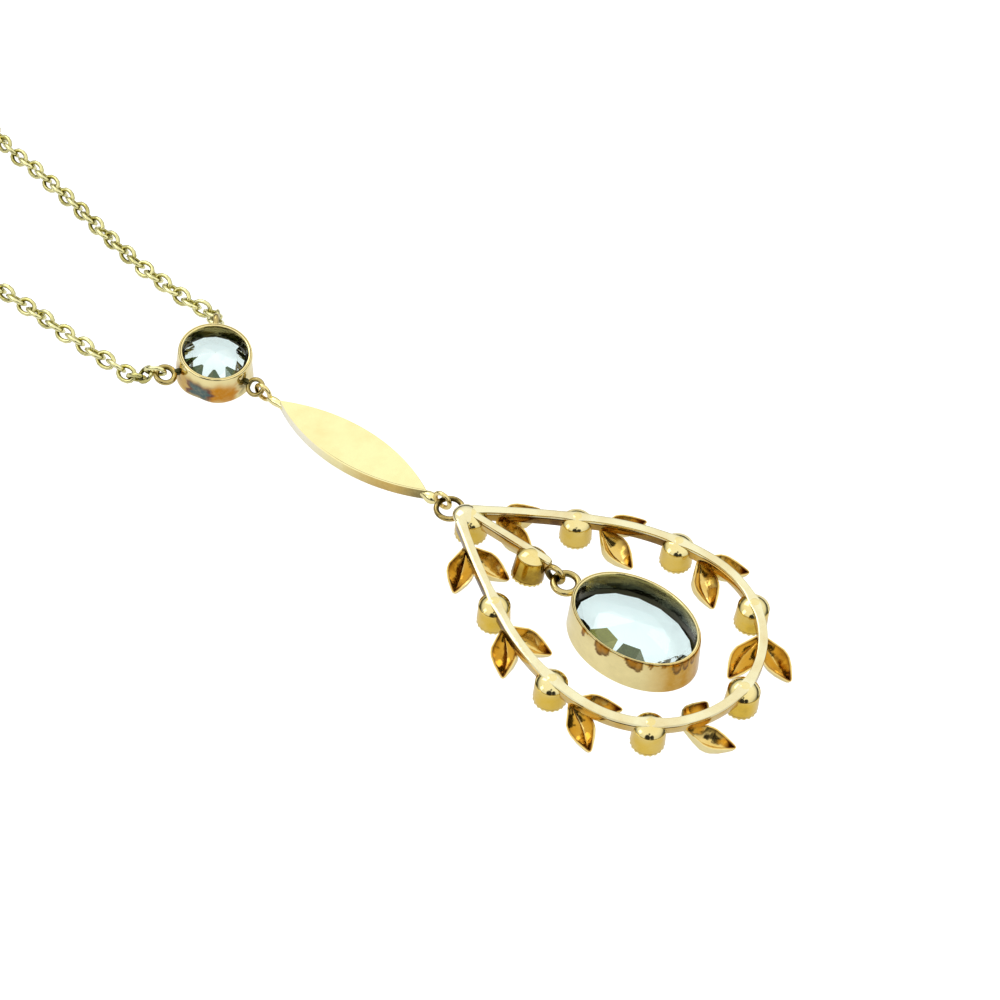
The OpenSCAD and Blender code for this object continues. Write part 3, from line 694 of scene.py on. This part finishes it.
def collet(half_w, half_l, height, draft):
    """A wall turned round Z and squashed to the setting's width: outside up with the draft,
    over the back edge with a fine groove round it, down the inside and out over the lip."""
    inner = half_l - collet_wall
    seat = inner - lip_w
    edge = half_l - draft
    # The marks are painted shade: in the fine groove round the back edge, and on the inside wall, deepening
    # down toward the stone and over the lip.
    # In and down from the back edge, and mark
    back_edge = [
        (0, 0.22, 0), (0.015, 0.12, 0), (0.05, 0.04, 0), (0.1, 0, 0), (0.155, 0.005, 0.1),
        (0.175, 0.04, 0.85), (0.195, 0.04, 0.85), (0.215, 0.01, 0.1), (0.28, 0.01, 0)]
    # Share of the draft, share of the height, and mark
    inner_wall = [(0.9, 0.86, 0.78), (0.75, 0.7, 0.84), (0.5, 0.5, 0.95), (0.2, 0.2, 1)]
    profile = np.array([
        (seat, 0.0, 0.6), (half_l - 0.06, 0, 0.1), (half_l - 0.015, 0.02, 0), (half_l, 0.08, 0),
        *[(half_l - draft * share, height * share, 0) for share in np.linspace(0.12, 0.86, wall_rows)],
        *[(edge - inward, height - down, mark) for inward, down, mark in back_edge],
        (inner - draft + 0.02, height - 0.04, 0.3), (inner - draft, height - 0.12, 0.66),
        *[(inner - draft * lean, height * share, mark) for lean, share, mark in inner_wall],
        (inner, lip_h, 1), (seat, lip_h, 0.9), (seat, 0, 0.6),
    ])
    turns = turns_of(collet_sides)
    grid = turned(profile[:, :1], profile[:, 1:2], turns, half_w / half_l)
    return grid, profile[:, 2:] * np.ones_like(turns), np.degrees(turns) * np.ones((len(profile), 1))


def step(value, start, end):
    """Nought up to the start, one from the end on, and smooth between them."""
    share = rising(value, start, end - start)
    return share * share * (3 - 2 * share)


def stained(shape, patches):
    """Patches of tarnish and of painted reflection, highlight and shade, laid over each other:
    each has a colour and an amount from 0 to 1.
    """
    stain_and_painted_light = np.zeros((*shape, 4))
    for colour, amount in patches:
        amount = np.broadcast_to(amount, shape)[..., None]
        over = stain_and_painted_light[..., :3] * (1 - amount) + np.array(colour) * amount
        stain_and_painted_light[..., :3] = np.where(stain_and_painted_light[..., 3:] > 0, over, colour)
        stain_and_painted_light[..., 3:] = np.maximum(stain_and_painted_light[..., 3:], amount)
    return stain_and_painted_light


# Painted dark reflections under the back edge, looking like brown runs: turn and half width in
# degrees, reach down the wall in mm
oval_dark_reflections = [
    (153, 3, 0.9), (173, 6, 1.3), (178, 5, 1.0), (203, 7, 0.95), (208, 5, 1.2), (219, 2, 0.6),
    (231, 3, 0.45), (245, 6, 1.3), (255, 5, 1.1), (265, 4, 0.9)]

collet_gold = gold(
    "collet_gold", bright=(0.95, 0.82, 0.41), deep=(0.42, 0.32, 0.1), grime_and_shade=(0.04, 0.04, 0.015),
    drift=0.15, smooth=0.04, matt=0.12, dents=0.45)
oval_wall, oval_mark, oval_turn = collet(oval_w, oval_l, oval_h, oval_draft)
# On the end away from the ring the painted shade is lighter.
oval_mark = oval_mark * (1 - 0.75 * step(oval_turn, 205, 230) * step(-oval_turn, -290, -268))
# The painted reflections lie on the rows of the profile up to the top of the back edge.
outside = np.arange(len(oval_wall))[:, None] < wall_rows + 8
reflection_depth = np.max([
    1 - ((oval_turn - turn) / width) ** 2 - ((oval_h - oval_wall[..., 2]) / reach) ** 2
    for turn, width, reach in oval_dark_reflections], 0)
# The end away from the ring is painted warmer all over: a painted reflection of the wreath's gold.
warm_reflection = (0.9 + 0.07 * np.sin(oval_turn * 0.35)) * step(oval_turn, 208, 246) * step(-oval_turn, -310, -285)
oval_painted_reflection = stained(oval_wall.shape[:2], [
    ((0.57, 0.28, 0.0), outside * warm_reflection), ((0.16, 0.075, 0.01), outside * step(reflection_depth, 0, 0.12)),
    ((0.5, 0.22, 0.015), outside * 0.8 * step(reflection_depth, 0.3, 0.8))])
oval_ring, oval_ring_mark = wire_loop((0.2, -9.333, 1.9), radius=0.95, wire=0.54, axis=upright_axis)
# The ring carries a little more painted shade and grime than plain wire.
oval_patches = [(oval_wall + oval_centre, oval_mark, oval_painted_reflection), (oval_ring, oval_ring_mark + 0.15)]
piece("oval_setting", oval_patches, collet_gold, "oval_collet")

# The stone is clear, with a pale blue-green body. A few of its facets are painted dark: a painted
# reflection of the setting's wall.
aquamarine, tree, shader = new_material("aquamarine")
place = add(tree, "TexCoord").outputs["Object"]
cloud = add(tree, "TexNoise", Vector=place, Scale=260, Detail=2).outputs["Fac"]
clear_body = toned(tree, cloud, (0, (0.82, 0.98, 0.98)), (1, (0.86, 1, 1)))
dark_share = add(tree, "Attribute", attribute_name="dark_reflection").outputs["Fac"]
dark_body = add(tree, "Attribute", attribute_name="shade").outputs["Color"]
feed(
    tree, shader, Transmission_Weight=1.0, IOR=1.577,
    Base_Color=mixed(tree, dark_share, clear_body, dark_body), Roughness=ranged(tree, cloud, To_Max=0.03))


def cut_stone(name, node, place, rx, ry, crown, pavilion, flat, lift, phase, dark_reflection):
    """A cut stone from rings of points: table, stars, both edges of the girdle, the knee of
    the pavilion in pairs a flat part apart, and the culet. The facets between them stay flat.
    Those by the girdle that face the setting's tarnished wall are painted dark, a painted
    reflection of that wall."""
    table, girdle, knee = 0.6, 0.12, 0.5
    star_r = (1 + table) / 2
    star_rise = crown * (1 - star_r * np.cos(np.pi / 8)) / (1 - table)
    knee_rise = pavilion * (1 - knee * np.cos(np.pi / 8))
    knees = np.pi / 8 + np.array([-flat, flat])
    eighth = np.arange(8) * np.pi / 4 + np.radians(phase)
    sixteenth = np.arange(16) * np.pi / 8 + np.radians(phase)
    rings = [
        (table, eighth, -girdle / 2 - crown),
        (star_r, eighth + np.pi / 8, -girdle / 2 - star_rise),
        (1, sixteenth, -girdle / 2),
        (1, sixteenth, girdle / 2),
        (knee, (eighth[:, None] + knees).ravel(), girdle / 2 + knee_rise),
        (0, np.zeros(1), girdle / 2 + pavilion),
    ]
    points = np.concatenate([
        np.stack([share * rx * np.cos(t), share * ry * np.sin(t), np.full(len(t), z)], -1)
        for share, t, z in rings]) + [0, 0, lift]
    faces = [list(range(7, -1, -1))]
    shades = [None]
    for k in range(8):
        star, last_star = 8 + k, 8 + (k + 7) % 8
        low, next_low = 16 + 2 * k, 16 + (2 * k + 2) % 16
        high, next_high = 32 + 2 * k, 32 + (2 * k + 2) % 16
        knee_a, knee_b, last, culet = 48 + 2 * k, 49 + 2 * k, 48 + (2 * k + 15) % 16, 64
        faces += [
            [k, (k + 1) % 8, star], [k, star, low, last_star], [star, low + 1, low],
            [star, next_low, low + 1], [low, low + 1, high + 1, high],
            [low + 1, next_low, next_high, high + 1], [high, high + 1, knee_a],
            [high + 1, knee_b, knee_a], [high + 1, next_high, knee_b], [high, knee_a, last],
            [last, knee_a, culet], [knee_a, knee_b, culet]]
        shades += [None] * 6 + list(dark_reflection.get(k, [None] * 3)) + [None] * 3
    mesh = bpy.data.meshes.new(name)
    mesh.from_pydata(in_metres(place(points)), [], faces)
    painted(mesh, "dark_reflection", [shade is not None for shade in shades], "FACE")
    painted(mesh, "shade", [(*(shade or (0, 0, 0)), 1) for shade in shades], "FACE")
    work = bmesh.new()
    work.from_mesh(mesh)
    bmesh.ops.recalc_face_normals(work, faces=work.faces)
    work.to_mesh(mesh)
    work.free()
    placed(name, mesh, aquamarine, node)


olive = (0.055, 0.055, 0.004)
pale_olive = (0.09, 0.085, 0.008)
grey_green = (0.009, 0.013, 0.002)
pale_grey_green = (0.03, 0.036, 0.012)
bottle_green = (0.003, 0.008, 0.001)
# The facets painted dark with the wall's reflection, by eighths of the stone
oval_dark = {3: (olive, olive, pale_olive), 4: (grey_green, grey_green, pale_grey_green)}
cut_stone(
    "oval_stone", "oval_aquamarine", lambda points: points + oval_centre, rx=3.35, ry=4.86, crown=0.6,
    pavilion=1.75, flat=0.29, lift=0.85, phase=-2, dark_reflection=oval_dark)


# Navette
# A pointed plate with a smooth polished back, a raised rim round a sunk channel at the front,
# and a wire loop on a small barrel at each point.

navette_l = 15.4
navette_w = 4.05
navette_t = 1.0
navette_z = 1.35
navette_rim = 0.3
navette_channel = 0.55
navette_x = 1.08
navette_foot_y = 4.7
navette_y = navette_foot_y + navette_l / 2
navette_arc = ((navette_l / 2) ** 2 + (navette_w / 2) ** 2) / navette_w
navette_side = navette_arc - navette_w / 2
near_line_inset = 0.15
channel_drop = navette_channel - navette_t


def plate_line(inset, height):
    """The right side of the plate at an inset from its outline: an arc from point to point,
    whose radius is less by the inset."""
    arc = navette_arc - inset
    along = np.sin(np.linspace(-np.pi / 2, np.pi / 2, 61)) * np.sqrt(arc**2 - navette_side**2)
    wide = np.maximum(np.sqrt(np.maximum(arc**2 - along**2, 0)) - navette_side, 0)
    return np.stack([wide, along, np.full(len(along), height)], -1)


# Inset from the outline, height over the back, share of the width, and mark of painted shade,
# deepest in the channel
plate_lines = [
    (0.9, 0, 0.4, 0), (0.6, 0, 1, 0), (0.25, 0, 1, 0), (0.19, 0, 1, 0), (near_line_inset, 0, 1, 0),
    (0.11, 0, 1, 0), (0.05, 0, 1, 0), (0.02, -0.02, 1, 0), (0.0, -0.08, 1, 0), (0.0, -0.5, 1, 0),
    (0.0, -0.92, 1, 0), (0.02, -0.98, 1, 0), (0.07, -1.0, 1, 0.1), (navette_rim - 0.06, -1.0, 1, 0.2),
    (navette_rim, -0.95, 1, 0.5), (navette_rim, channel_drop, 1, 1), (0.5, channel_drop, 0.6, 1),
]
right_half = np.stack([
    plate_line(inset, navette_z + drop) * [width, 1, 1] for inset, drop, width, _ in plate_lines], 1)
plate = np.concatenate([right_half, (right_half * [-1, 1, 1])[:, ::-1]], 1) + [navette_x, navette_y, 0]
both_halves = np.array(plate_lines + plate_lines[::-1])
plate_mark = both_halves[:, 3] * np.ones((len(plate), 1))
# The near side carries a painted highlight toward the head and painted brown and then dark
# reflections toward the foot, where a fine dark line of painted shade runs along its edge.
near_half = np.arange(plate.shape[1]) >= len(plate_lines)
near_side = near_half & (both_halves[:, 3] == 0) & (np.abs(both_halves[:, 1] + 0.5) < 0.49)
near_line = near_half & (both_halves[:, 0] == near_line_inset)
toward_foot = navette_y - plate[..., 1]
plate_painted_light = stained(plate.shape[:2], [
    ((0.3, 0.24, 0.1), near_line * 0.9 * step(toward_foot, -3, 1)),
    ((1, 0.96, 0.8), near_side * 0.9 * step(-toward_foot, -0.5, 4)),
    ((0.62, 0.42, 0.12), near_side * 0.95 * step(toward_foot, -1, 4.5)),
    ((0.12, 0.11, 0.05), near_side * 0.85 * step(toward_foot, 5, 7.6))])


def barrel(start, end, widths):
    """A turned stem from one point to another, as wide as the listed radii along the way."""
    length = np.array(end) - np.array(start)
    way = unit(length)
    side = unit(np.cross(way, [0, 0, 1]))
    rise = np.cross(side, way)
    turns = turns_of(20)
    outline = np.stack([np.cos(turns), np.sin(turns)], -1)
    path = start + np.linspace(0, 1, len(widths))[:, None] * length
    widths = np.array(widths)[:, None]
    return carried(outline, path, side * widths, rise * widths), 0.0


stem_z = navette_z - navette_t / 2
navette_parts = [
    (plate, plate_mark, plate_painted_light),
    wire_loop((navette_x, 3.195, 1.4), radius=0.7, wire=0.38, axis=level_axis),
    wire_loop((navette_x, 21.819, 1.099), radius=0.7, wire=0.38, axis=level_axis),
    barrel((navette_x, 3.8, stem_z), (navette_x, 5.2, stem_z), [0.26, 0.44, 0.5, 0.46, 0.36, 0.3]),
    barrel((navette_x, 21.2, stem_z), (navette_x, 19.6, stem_z), [0.26, 0.33, 0.36, 0.33, 0.3, 0.3]),
]
plate_gold = gold(
    "plate_gold", bright=(0.97, 0.88, 0.45), deep=(0.7, 0.5, 0.15), grime_and_shade=(0.2, 0.14, 0.05),
    drift=0.15, smooth=0.05, matt=0.14, dents=0.25)
piece("navette_plate", navette_parts, plate_gold, "navette", crease=28)


# Pearls of the navette
# Seven half pearls, cemented flat side in along the plate's channel, the largest in the middle.
# They are of the same cream white as the round ones.

row_middle_r = 1.15
row_taper = 0.55
row_gap = 0.12
row_sunk = 0.12
row_sizes = row_middle_r * (1 - row_taper * (np.abs(np.arange(-3, 4)) / 3) ** 1.5)
row_top = navette_z - navette_t + navette_channel - row_sunk
row_places = np.zeros(7)
for k in range(4, 7):
    row_places[k] = row_places[k - 1] + row_sizes[k - 1] + row_sizes[k] + row_gap
    row_places[6 - k] = -row_places[k]
row_lean = np.linspace(0, np.pi / 2, 12)
row_pearls = []
for place_y, size in zip(row_places, row_sizes):
    depth = size * min(1, row_top / size)
    across_it = np.concatenate([[0], size * np.cos(row_lean)])[:, None]
    down_it = np.concatenate([[0], -depth * np.sin(row_lean)])[:, None]
    row_pearl = turned(across_it, down_it, turns_of(32)) + [navette_x, navette_y + place_y, row_top]
    row_pearls.append((row_pearl, 0.0))
piece("navette_row", row_pearls, nacre, "navette_pearls", crease=50)


# Round drop
# The open-backed round setting where the chain divides, tipped by its rings. Its wall is
# tarnished blue-grey and brown on the side toward the foot. The cut stone sits table down.

round_r = 3.15
round_draft = 0.12
round_h = 2.9
round_tip = np.radians(9)
round_centre = np.array([0.51, 26.79, round_r * np.sin(round_tip)])
ring_z = 1.35
ring_mid_r = round_r - round_draft * ring_z / round_h
lug_sunk = 0.17
lug_lap = 0.04
link_past_ring = 0.15


def at_round(points):
    """Points of the round setting's own frame, tipped about X and set in their place."""
    return rotated(points, 0, round_tip) + round_centre


def setting_ring(turn, reach, lean, radius=0.64, wire=0.38):
    """A wire ring and its lug on the setting's wall, leaning about the way out from the wall.
    For the chain that hangs in it come its centre, its axis and the first link's distance."""
    turn, lean = np.radians([turn, lean])
    out = np.array([np.cos(turn), np.sin(turn), 0])
    sideways = np.array([-np.sin(turn), np.cos(turn), 0])
    axis = np.cos(lean) * np.array([0, 0, 1]) - np.sin(lean) * sideways
    centre = (ring_mid_r + reach) * out + [0, 0, ring_z]
    grid, mark = wire_loop(centre, radius, wire, axis)
    lug_start = (ring_mid_r - lug_sunk) * out + [0, 0, ring_z]
    lug_end = (ring_mid_r + reach - radius + lug_lap) * out + [0, 0, ring_z]
    lug, _ = barrel(lug_start, lug_end, [0.3, 0.3, 0.28, 0.25, 0.22])
    hang = (at_round(centre), rotated(axis, 0, round_tip), radius + link_past_ring)
    # The ring carries more painted shade and grime than plain wire, and its lug nearly the most.
    return [(at_round(grid), mark + 0.25), (at_round(lug), 0.95)], hang


round_wall, round_mark, round_turn = collet(round_r, round_r, round_h, round_draft)
# Around a turn of 236 degrees the painted shade is halved.
round_mark = round_mark * (1 - 0.5 * step(np.cos(np.radians(round_turn - 236)), 0.1, 0.6))
# The wall is dented toward its lip at one side, and bulges at another.
low = 1 - step(round_wall[..., 2], 0, 1.9)
dented = 0.075 * low * np.exp(-((round_turn - 198) / 20) ** 2)
bulged = 0.05 * low * np.exp(-((round_turn - 300) / 30) ** 2)
round_wall[..., :2] *= (1 - dented + bulged)[..., None]
# The stains lie on the rows of the profile up to just under the back edge.
outside = np.arange(len(round_wall))[:, None] < wall_rows + 6
ripple = np.radians(round_turn)
wall_z = round_wall[..., 2]
height = wall_z + 0.12 * np.sin(9 * ripple) + 0.05 * np.sin(23 * ripple + 1)
uneven = round_turn + 3 * np.sin(5 * wall_z) + 1.5 * np.sin(11 * wall_z + 1)


def between(value, start, end, soft):
    """One from the start to the end, falling softly to nought on both sides."""
    return step(value, start - soft, start + soft) * step(-value, -end - soft, -end + soft)


# Colour, amount, and start, end and softness, first in degrees of turn and then in mm of height
round_tarnish = [
    ((0.62, 0.36, 0.06), 0.85, (140, 182, 10), (0.2, 2.2, 0.4)),
    ((0.62, 0.25, 0.01), 1, (214, 258, 6), (0, 2.05, 0.55)),
    ((0.2, 0.06, 0.03), 1, (176, 219, 3), (0, 2.0, 0.4)),
    ((0.08, 0.14, 0.14), 1, (183, 213, 4), (0.1, 1.7, 0.35)),
    ((0.11, 0.08, 0.02), 0.85, (264, 275, 6), (0.5, 2.3, 0.5)),
    ((0.03, 0.04, 0.02), 0.85, (148, 157, 5), (0.9, 1.9, 0.3)),
]
round_stain = stained(round_wall.shape[:2], [
    (colour, outside * amount * between(uneven, *turn_span) * between(height, *height_span))
    for colour, amount, turn_span, height_span in round_tarnish])
foot_parts, _ = setting_ring(-82.5, 0.95, 38)
right_parts, right_hang = setting_ring(41, 1.05, 90, wire=0.5)
left_parts, left_hang = setting_ring(152, 1.12, -8, radius=0.74, wire=0.46)
round_parts = [(at_round(round_wall), round_mark, round_stain)] + foot_parts + right_parts + left_parts
piece("round_setting", round_parts, collet_gold, "round_collet")
# The round stone's facets painted dark with the reflection of its wall, by eighths of the stone
pale_green = (0.05, 0.08, 0.05)
round_dark = {
    2: (None, None, bottle_green), 3: (bottle_green, grey_green, bottle_green),
    4: (grey_green, bottle_green, bottle_green), 5: (pale_green, bottle_green, bottle_green)}
cut_stone(
    "round_stone", "round_aquamarine", at_round, rx=2.68, ry=2.68, crown=0.65, pavilion=1.35, flat=0.07,
    lift=1.4, phase=17, dark_reflection=round_dark)


# Chain
# Two strands of fine cable chain in a greener gold. Each link is a small oval of thin wire,
# soldered shut, and the links lean to one side and the other in turn.

# X and Y of the strands on the paper, from the round setting to the clasp
right_route = [
    (5.4, 31.2), (5.3, 33.5), (5.5, 36), (5.9, 40), (6.8, 45), (8, 50.5), (9, 56), (9.8, 61), (13, 69),
    (19.5, 79), (28, 90), (36.5, 102), (43.5, 115), (48, 129), (48.5, 144), (44, 158), (35, 169.5),
    (22.5, 178), (11, 182), (4.8, 183)]
left_route = [
    (-4.1, 31.2), (-4.1, 33.5), (-4.1, 36), (-4, 40), (-3.8, 45), (-4.1, 50.5), (-5.2, 56), (-7.4, 62),
    (-11.5, 70), (-19, 79.5), (-28, 90), (-36.5, 102), (-43.5, 115), (-48, 129), (-48.5, 144),
    (-44, 158), (-35, 169.5), (-22.5, 178), (-11, 182), (-4.8, 183)]
clasp_y = 183.0
clasp_z = 0.55
eye_x = 3.65
eye_r = 0.7
link_half_l = 0.84
link_half_w = 0.6
link_wire = 0.19
link_pitch = 1.19
link_lie = 0.58
first_lift = 0.2
link_clear = 0.005
link_look = 0.4
link_play = 0.13
link_sides = 12
link_wire_sides = 6
links_without_play = 4
links_turned = 5


def through(points, steps=40):
    """The smooth curve through the points, each stretch a cubic of its four nearest points."""
    ends = np.concatenate([points[:1], points, points[-1:]])
    a, b, c, d = (ends[k:len(ends) - 3 + k][:, None] for k in range(4))
    t = np.linspace(0, 1, steps, endpoint=False)[None, :, None]
    curve = 0.5 * (2 * b + (c - a) * t + (2 * a - 5 * b + 4 * c - d) * t**2 + (3 * b - a - 3 * c + d) * t**3)
    return np.concatenate([curve.reshape(-1, 3), points[-1:]])


def link_stations(hang, route, side):
    """The middle of each link and the way ahead there, at even steps along the strand's curve.
    The strand leaves in the plane of its ring, whose wire passes square through the first link."""
    start, ring_axis, reach = hang
    lying = np.array([(*place, link_lie) for place in route])
    lying[0, 2] += first_lift
    toward = lying[0] - start
    toward = unit(toward - (toward @ ring_axis) * ring_axis)
    eye = [[side * eye_x, clasp_y, clasp_z]]
    path = through(np.concatenate([[start, start + reach * toward], lying, eye]))
    run = np.concatenate([[0], np.cumsum(np.linalg.norm(np.diff(path, axis=0), axis=1))])
    last = run[-1] - (eye_r + link_past_ring)
    at = np.linspace(reach, last, int(round((last - reach) / link_pitch)) + 1)
    behind, centre, ahead = (
        np.stack([np.interp(at + look, run, path[:, k]) for k in range(3)], -1)
        for look in (-link_look, 0, link_look))
    return centre, unit(ahead - behind)


def chain_strand(name, node, hang, route, side, seed, turned_first):
    """Ovals of wire along a route: each link's ring lies in the plane of the way ahead and a
    side that leans 45 degrees one way and the other in turn, with a little play. The links by
    the ring are turned for it. Each carries painted shade on its inner side, and every other
    link a little more painted shade."""
    centre, way = link_stations(hang, route, side)
    count = len(centre)
    from_ring = np.arange(count)
    play = np.random.default_rng(seed).normal(0, link_play, count)
    loose = np.clip(np.minimum(from_ring, from_ring[::-1]) / links_without_play, 0, 1)
    roll = np.where(from_ring % 2 == 0, 1, -1) * np.pi / 4 + play * loose
    roll += np.radians(turned_first) * np.clip(1 - from_ring / links_turned, 0, 1)
    level_side = unit(np.cross([0, 0, 1], way))
    rise = np.cross(way, level_side)
    centre[:, 2] = np.maximum(centre[:, 2], link_half_w * np.abs(np.sin(roll)) + link_wire + link_clear)
    plane = np.cos(roll)[:, None] * level_side + np.sin(roll)[:, None] * rise
    normal = np.cross(way, plane)
    turns = turns_of(link_sides)
    c, s = np.cos(turns), np.sin(turns)
    oval = np.stack([
        link_half_l * np.sign(c) * np.abs(c) ** 0.95, link_half_w * np.sign(s) * np.abs(s) ** 0.9], -1)
    out = unit(np.stack([c * link_half_w, s * link_half_l], -1))
    wire_turns = turns_of(link_wire_sides) + np.pi / 6
    flat = oval[:, None] + link_wire * np.cos(wire_turns)[None, :, None] * out[:, None]
    thick = link_wire * np.sin(wire_turns)[:, None]
    points = (centre[:, None, None] + flat[..., :1] * way[:, None, None]
              + flat[..., 1:] * plane[:, None, None] + thick * normal[:, None, None])
    k = from_ring[:, None, None] * link_sides * link_wire_sides
    i = k + np.arange(link_sides)[:, None] * link_wire_sides
    i2 = k + (np.arange(link_sides)[:, None] + 1) % link_sides * link_wire_sides
    j = np.arange(link_wire_sides)
    j2 = (j + 1) % link_wire_sides
    quads = np.stack([i + j, i2 + j, i2 + j2, i + j2], -1).reshape(-1, 4)
    every_other_shaded = 0.12 * (from_ring % 2)[:, None, None]
    marks = np.zeros(points.shape[:3]) + 0.6 * (np.cos(wire_turns) < -0.3) + every_other_shaded
    mesh = bpy.data.meshes.new(name)
    mesh.from_pydata(in_metres(points.reshape(-1, 3)), [], quads.tolist())
    mesh.polygons.foreach_set("use_smooth", np.ones(len(mesh.polygons), bool))
    painted(mesh, "shade_and_grime", marks.ravel())
    placed(name, mesh, green_gold, node)


green_gold = gold(
    "green_gold", bright=(0.91, 0.87, 0.46), deep=(0.46, 0.41, 0.11), grime_and_shade=(0.12, 0.11, 0.03),
    drift=0.5, smooth=0.08, matt=0.22, dents=0.2)
chain_strand("right_strand", "chain_right", right_hang, right_route, side=1, seed=3, turned_first=-25)
chain_strand("left_strand", "chain_left", left_hang, left_route, side=-1, seed=5, turned_first=25)


# Clasp
# A plain bolt ring of thick round gold wire, hidden behind the neck. An eye of thinner wire on
# each side of it takes the last link of a strand.

bolt_ring = wire_loop((0, clasp_y, clasp_z), 2.4, wire=1.1, axis=upright_axis, sides=64, wire_sides=24)
eyes = [wire_loop((x, clasp_y, clasp_z), eye_r, wire=0.38, axis=upright_axis) for x in (-eye_x, eye_x)]
piece("bolt_ring", [bolt_ring, *eyes], wire_gold, "clasp")
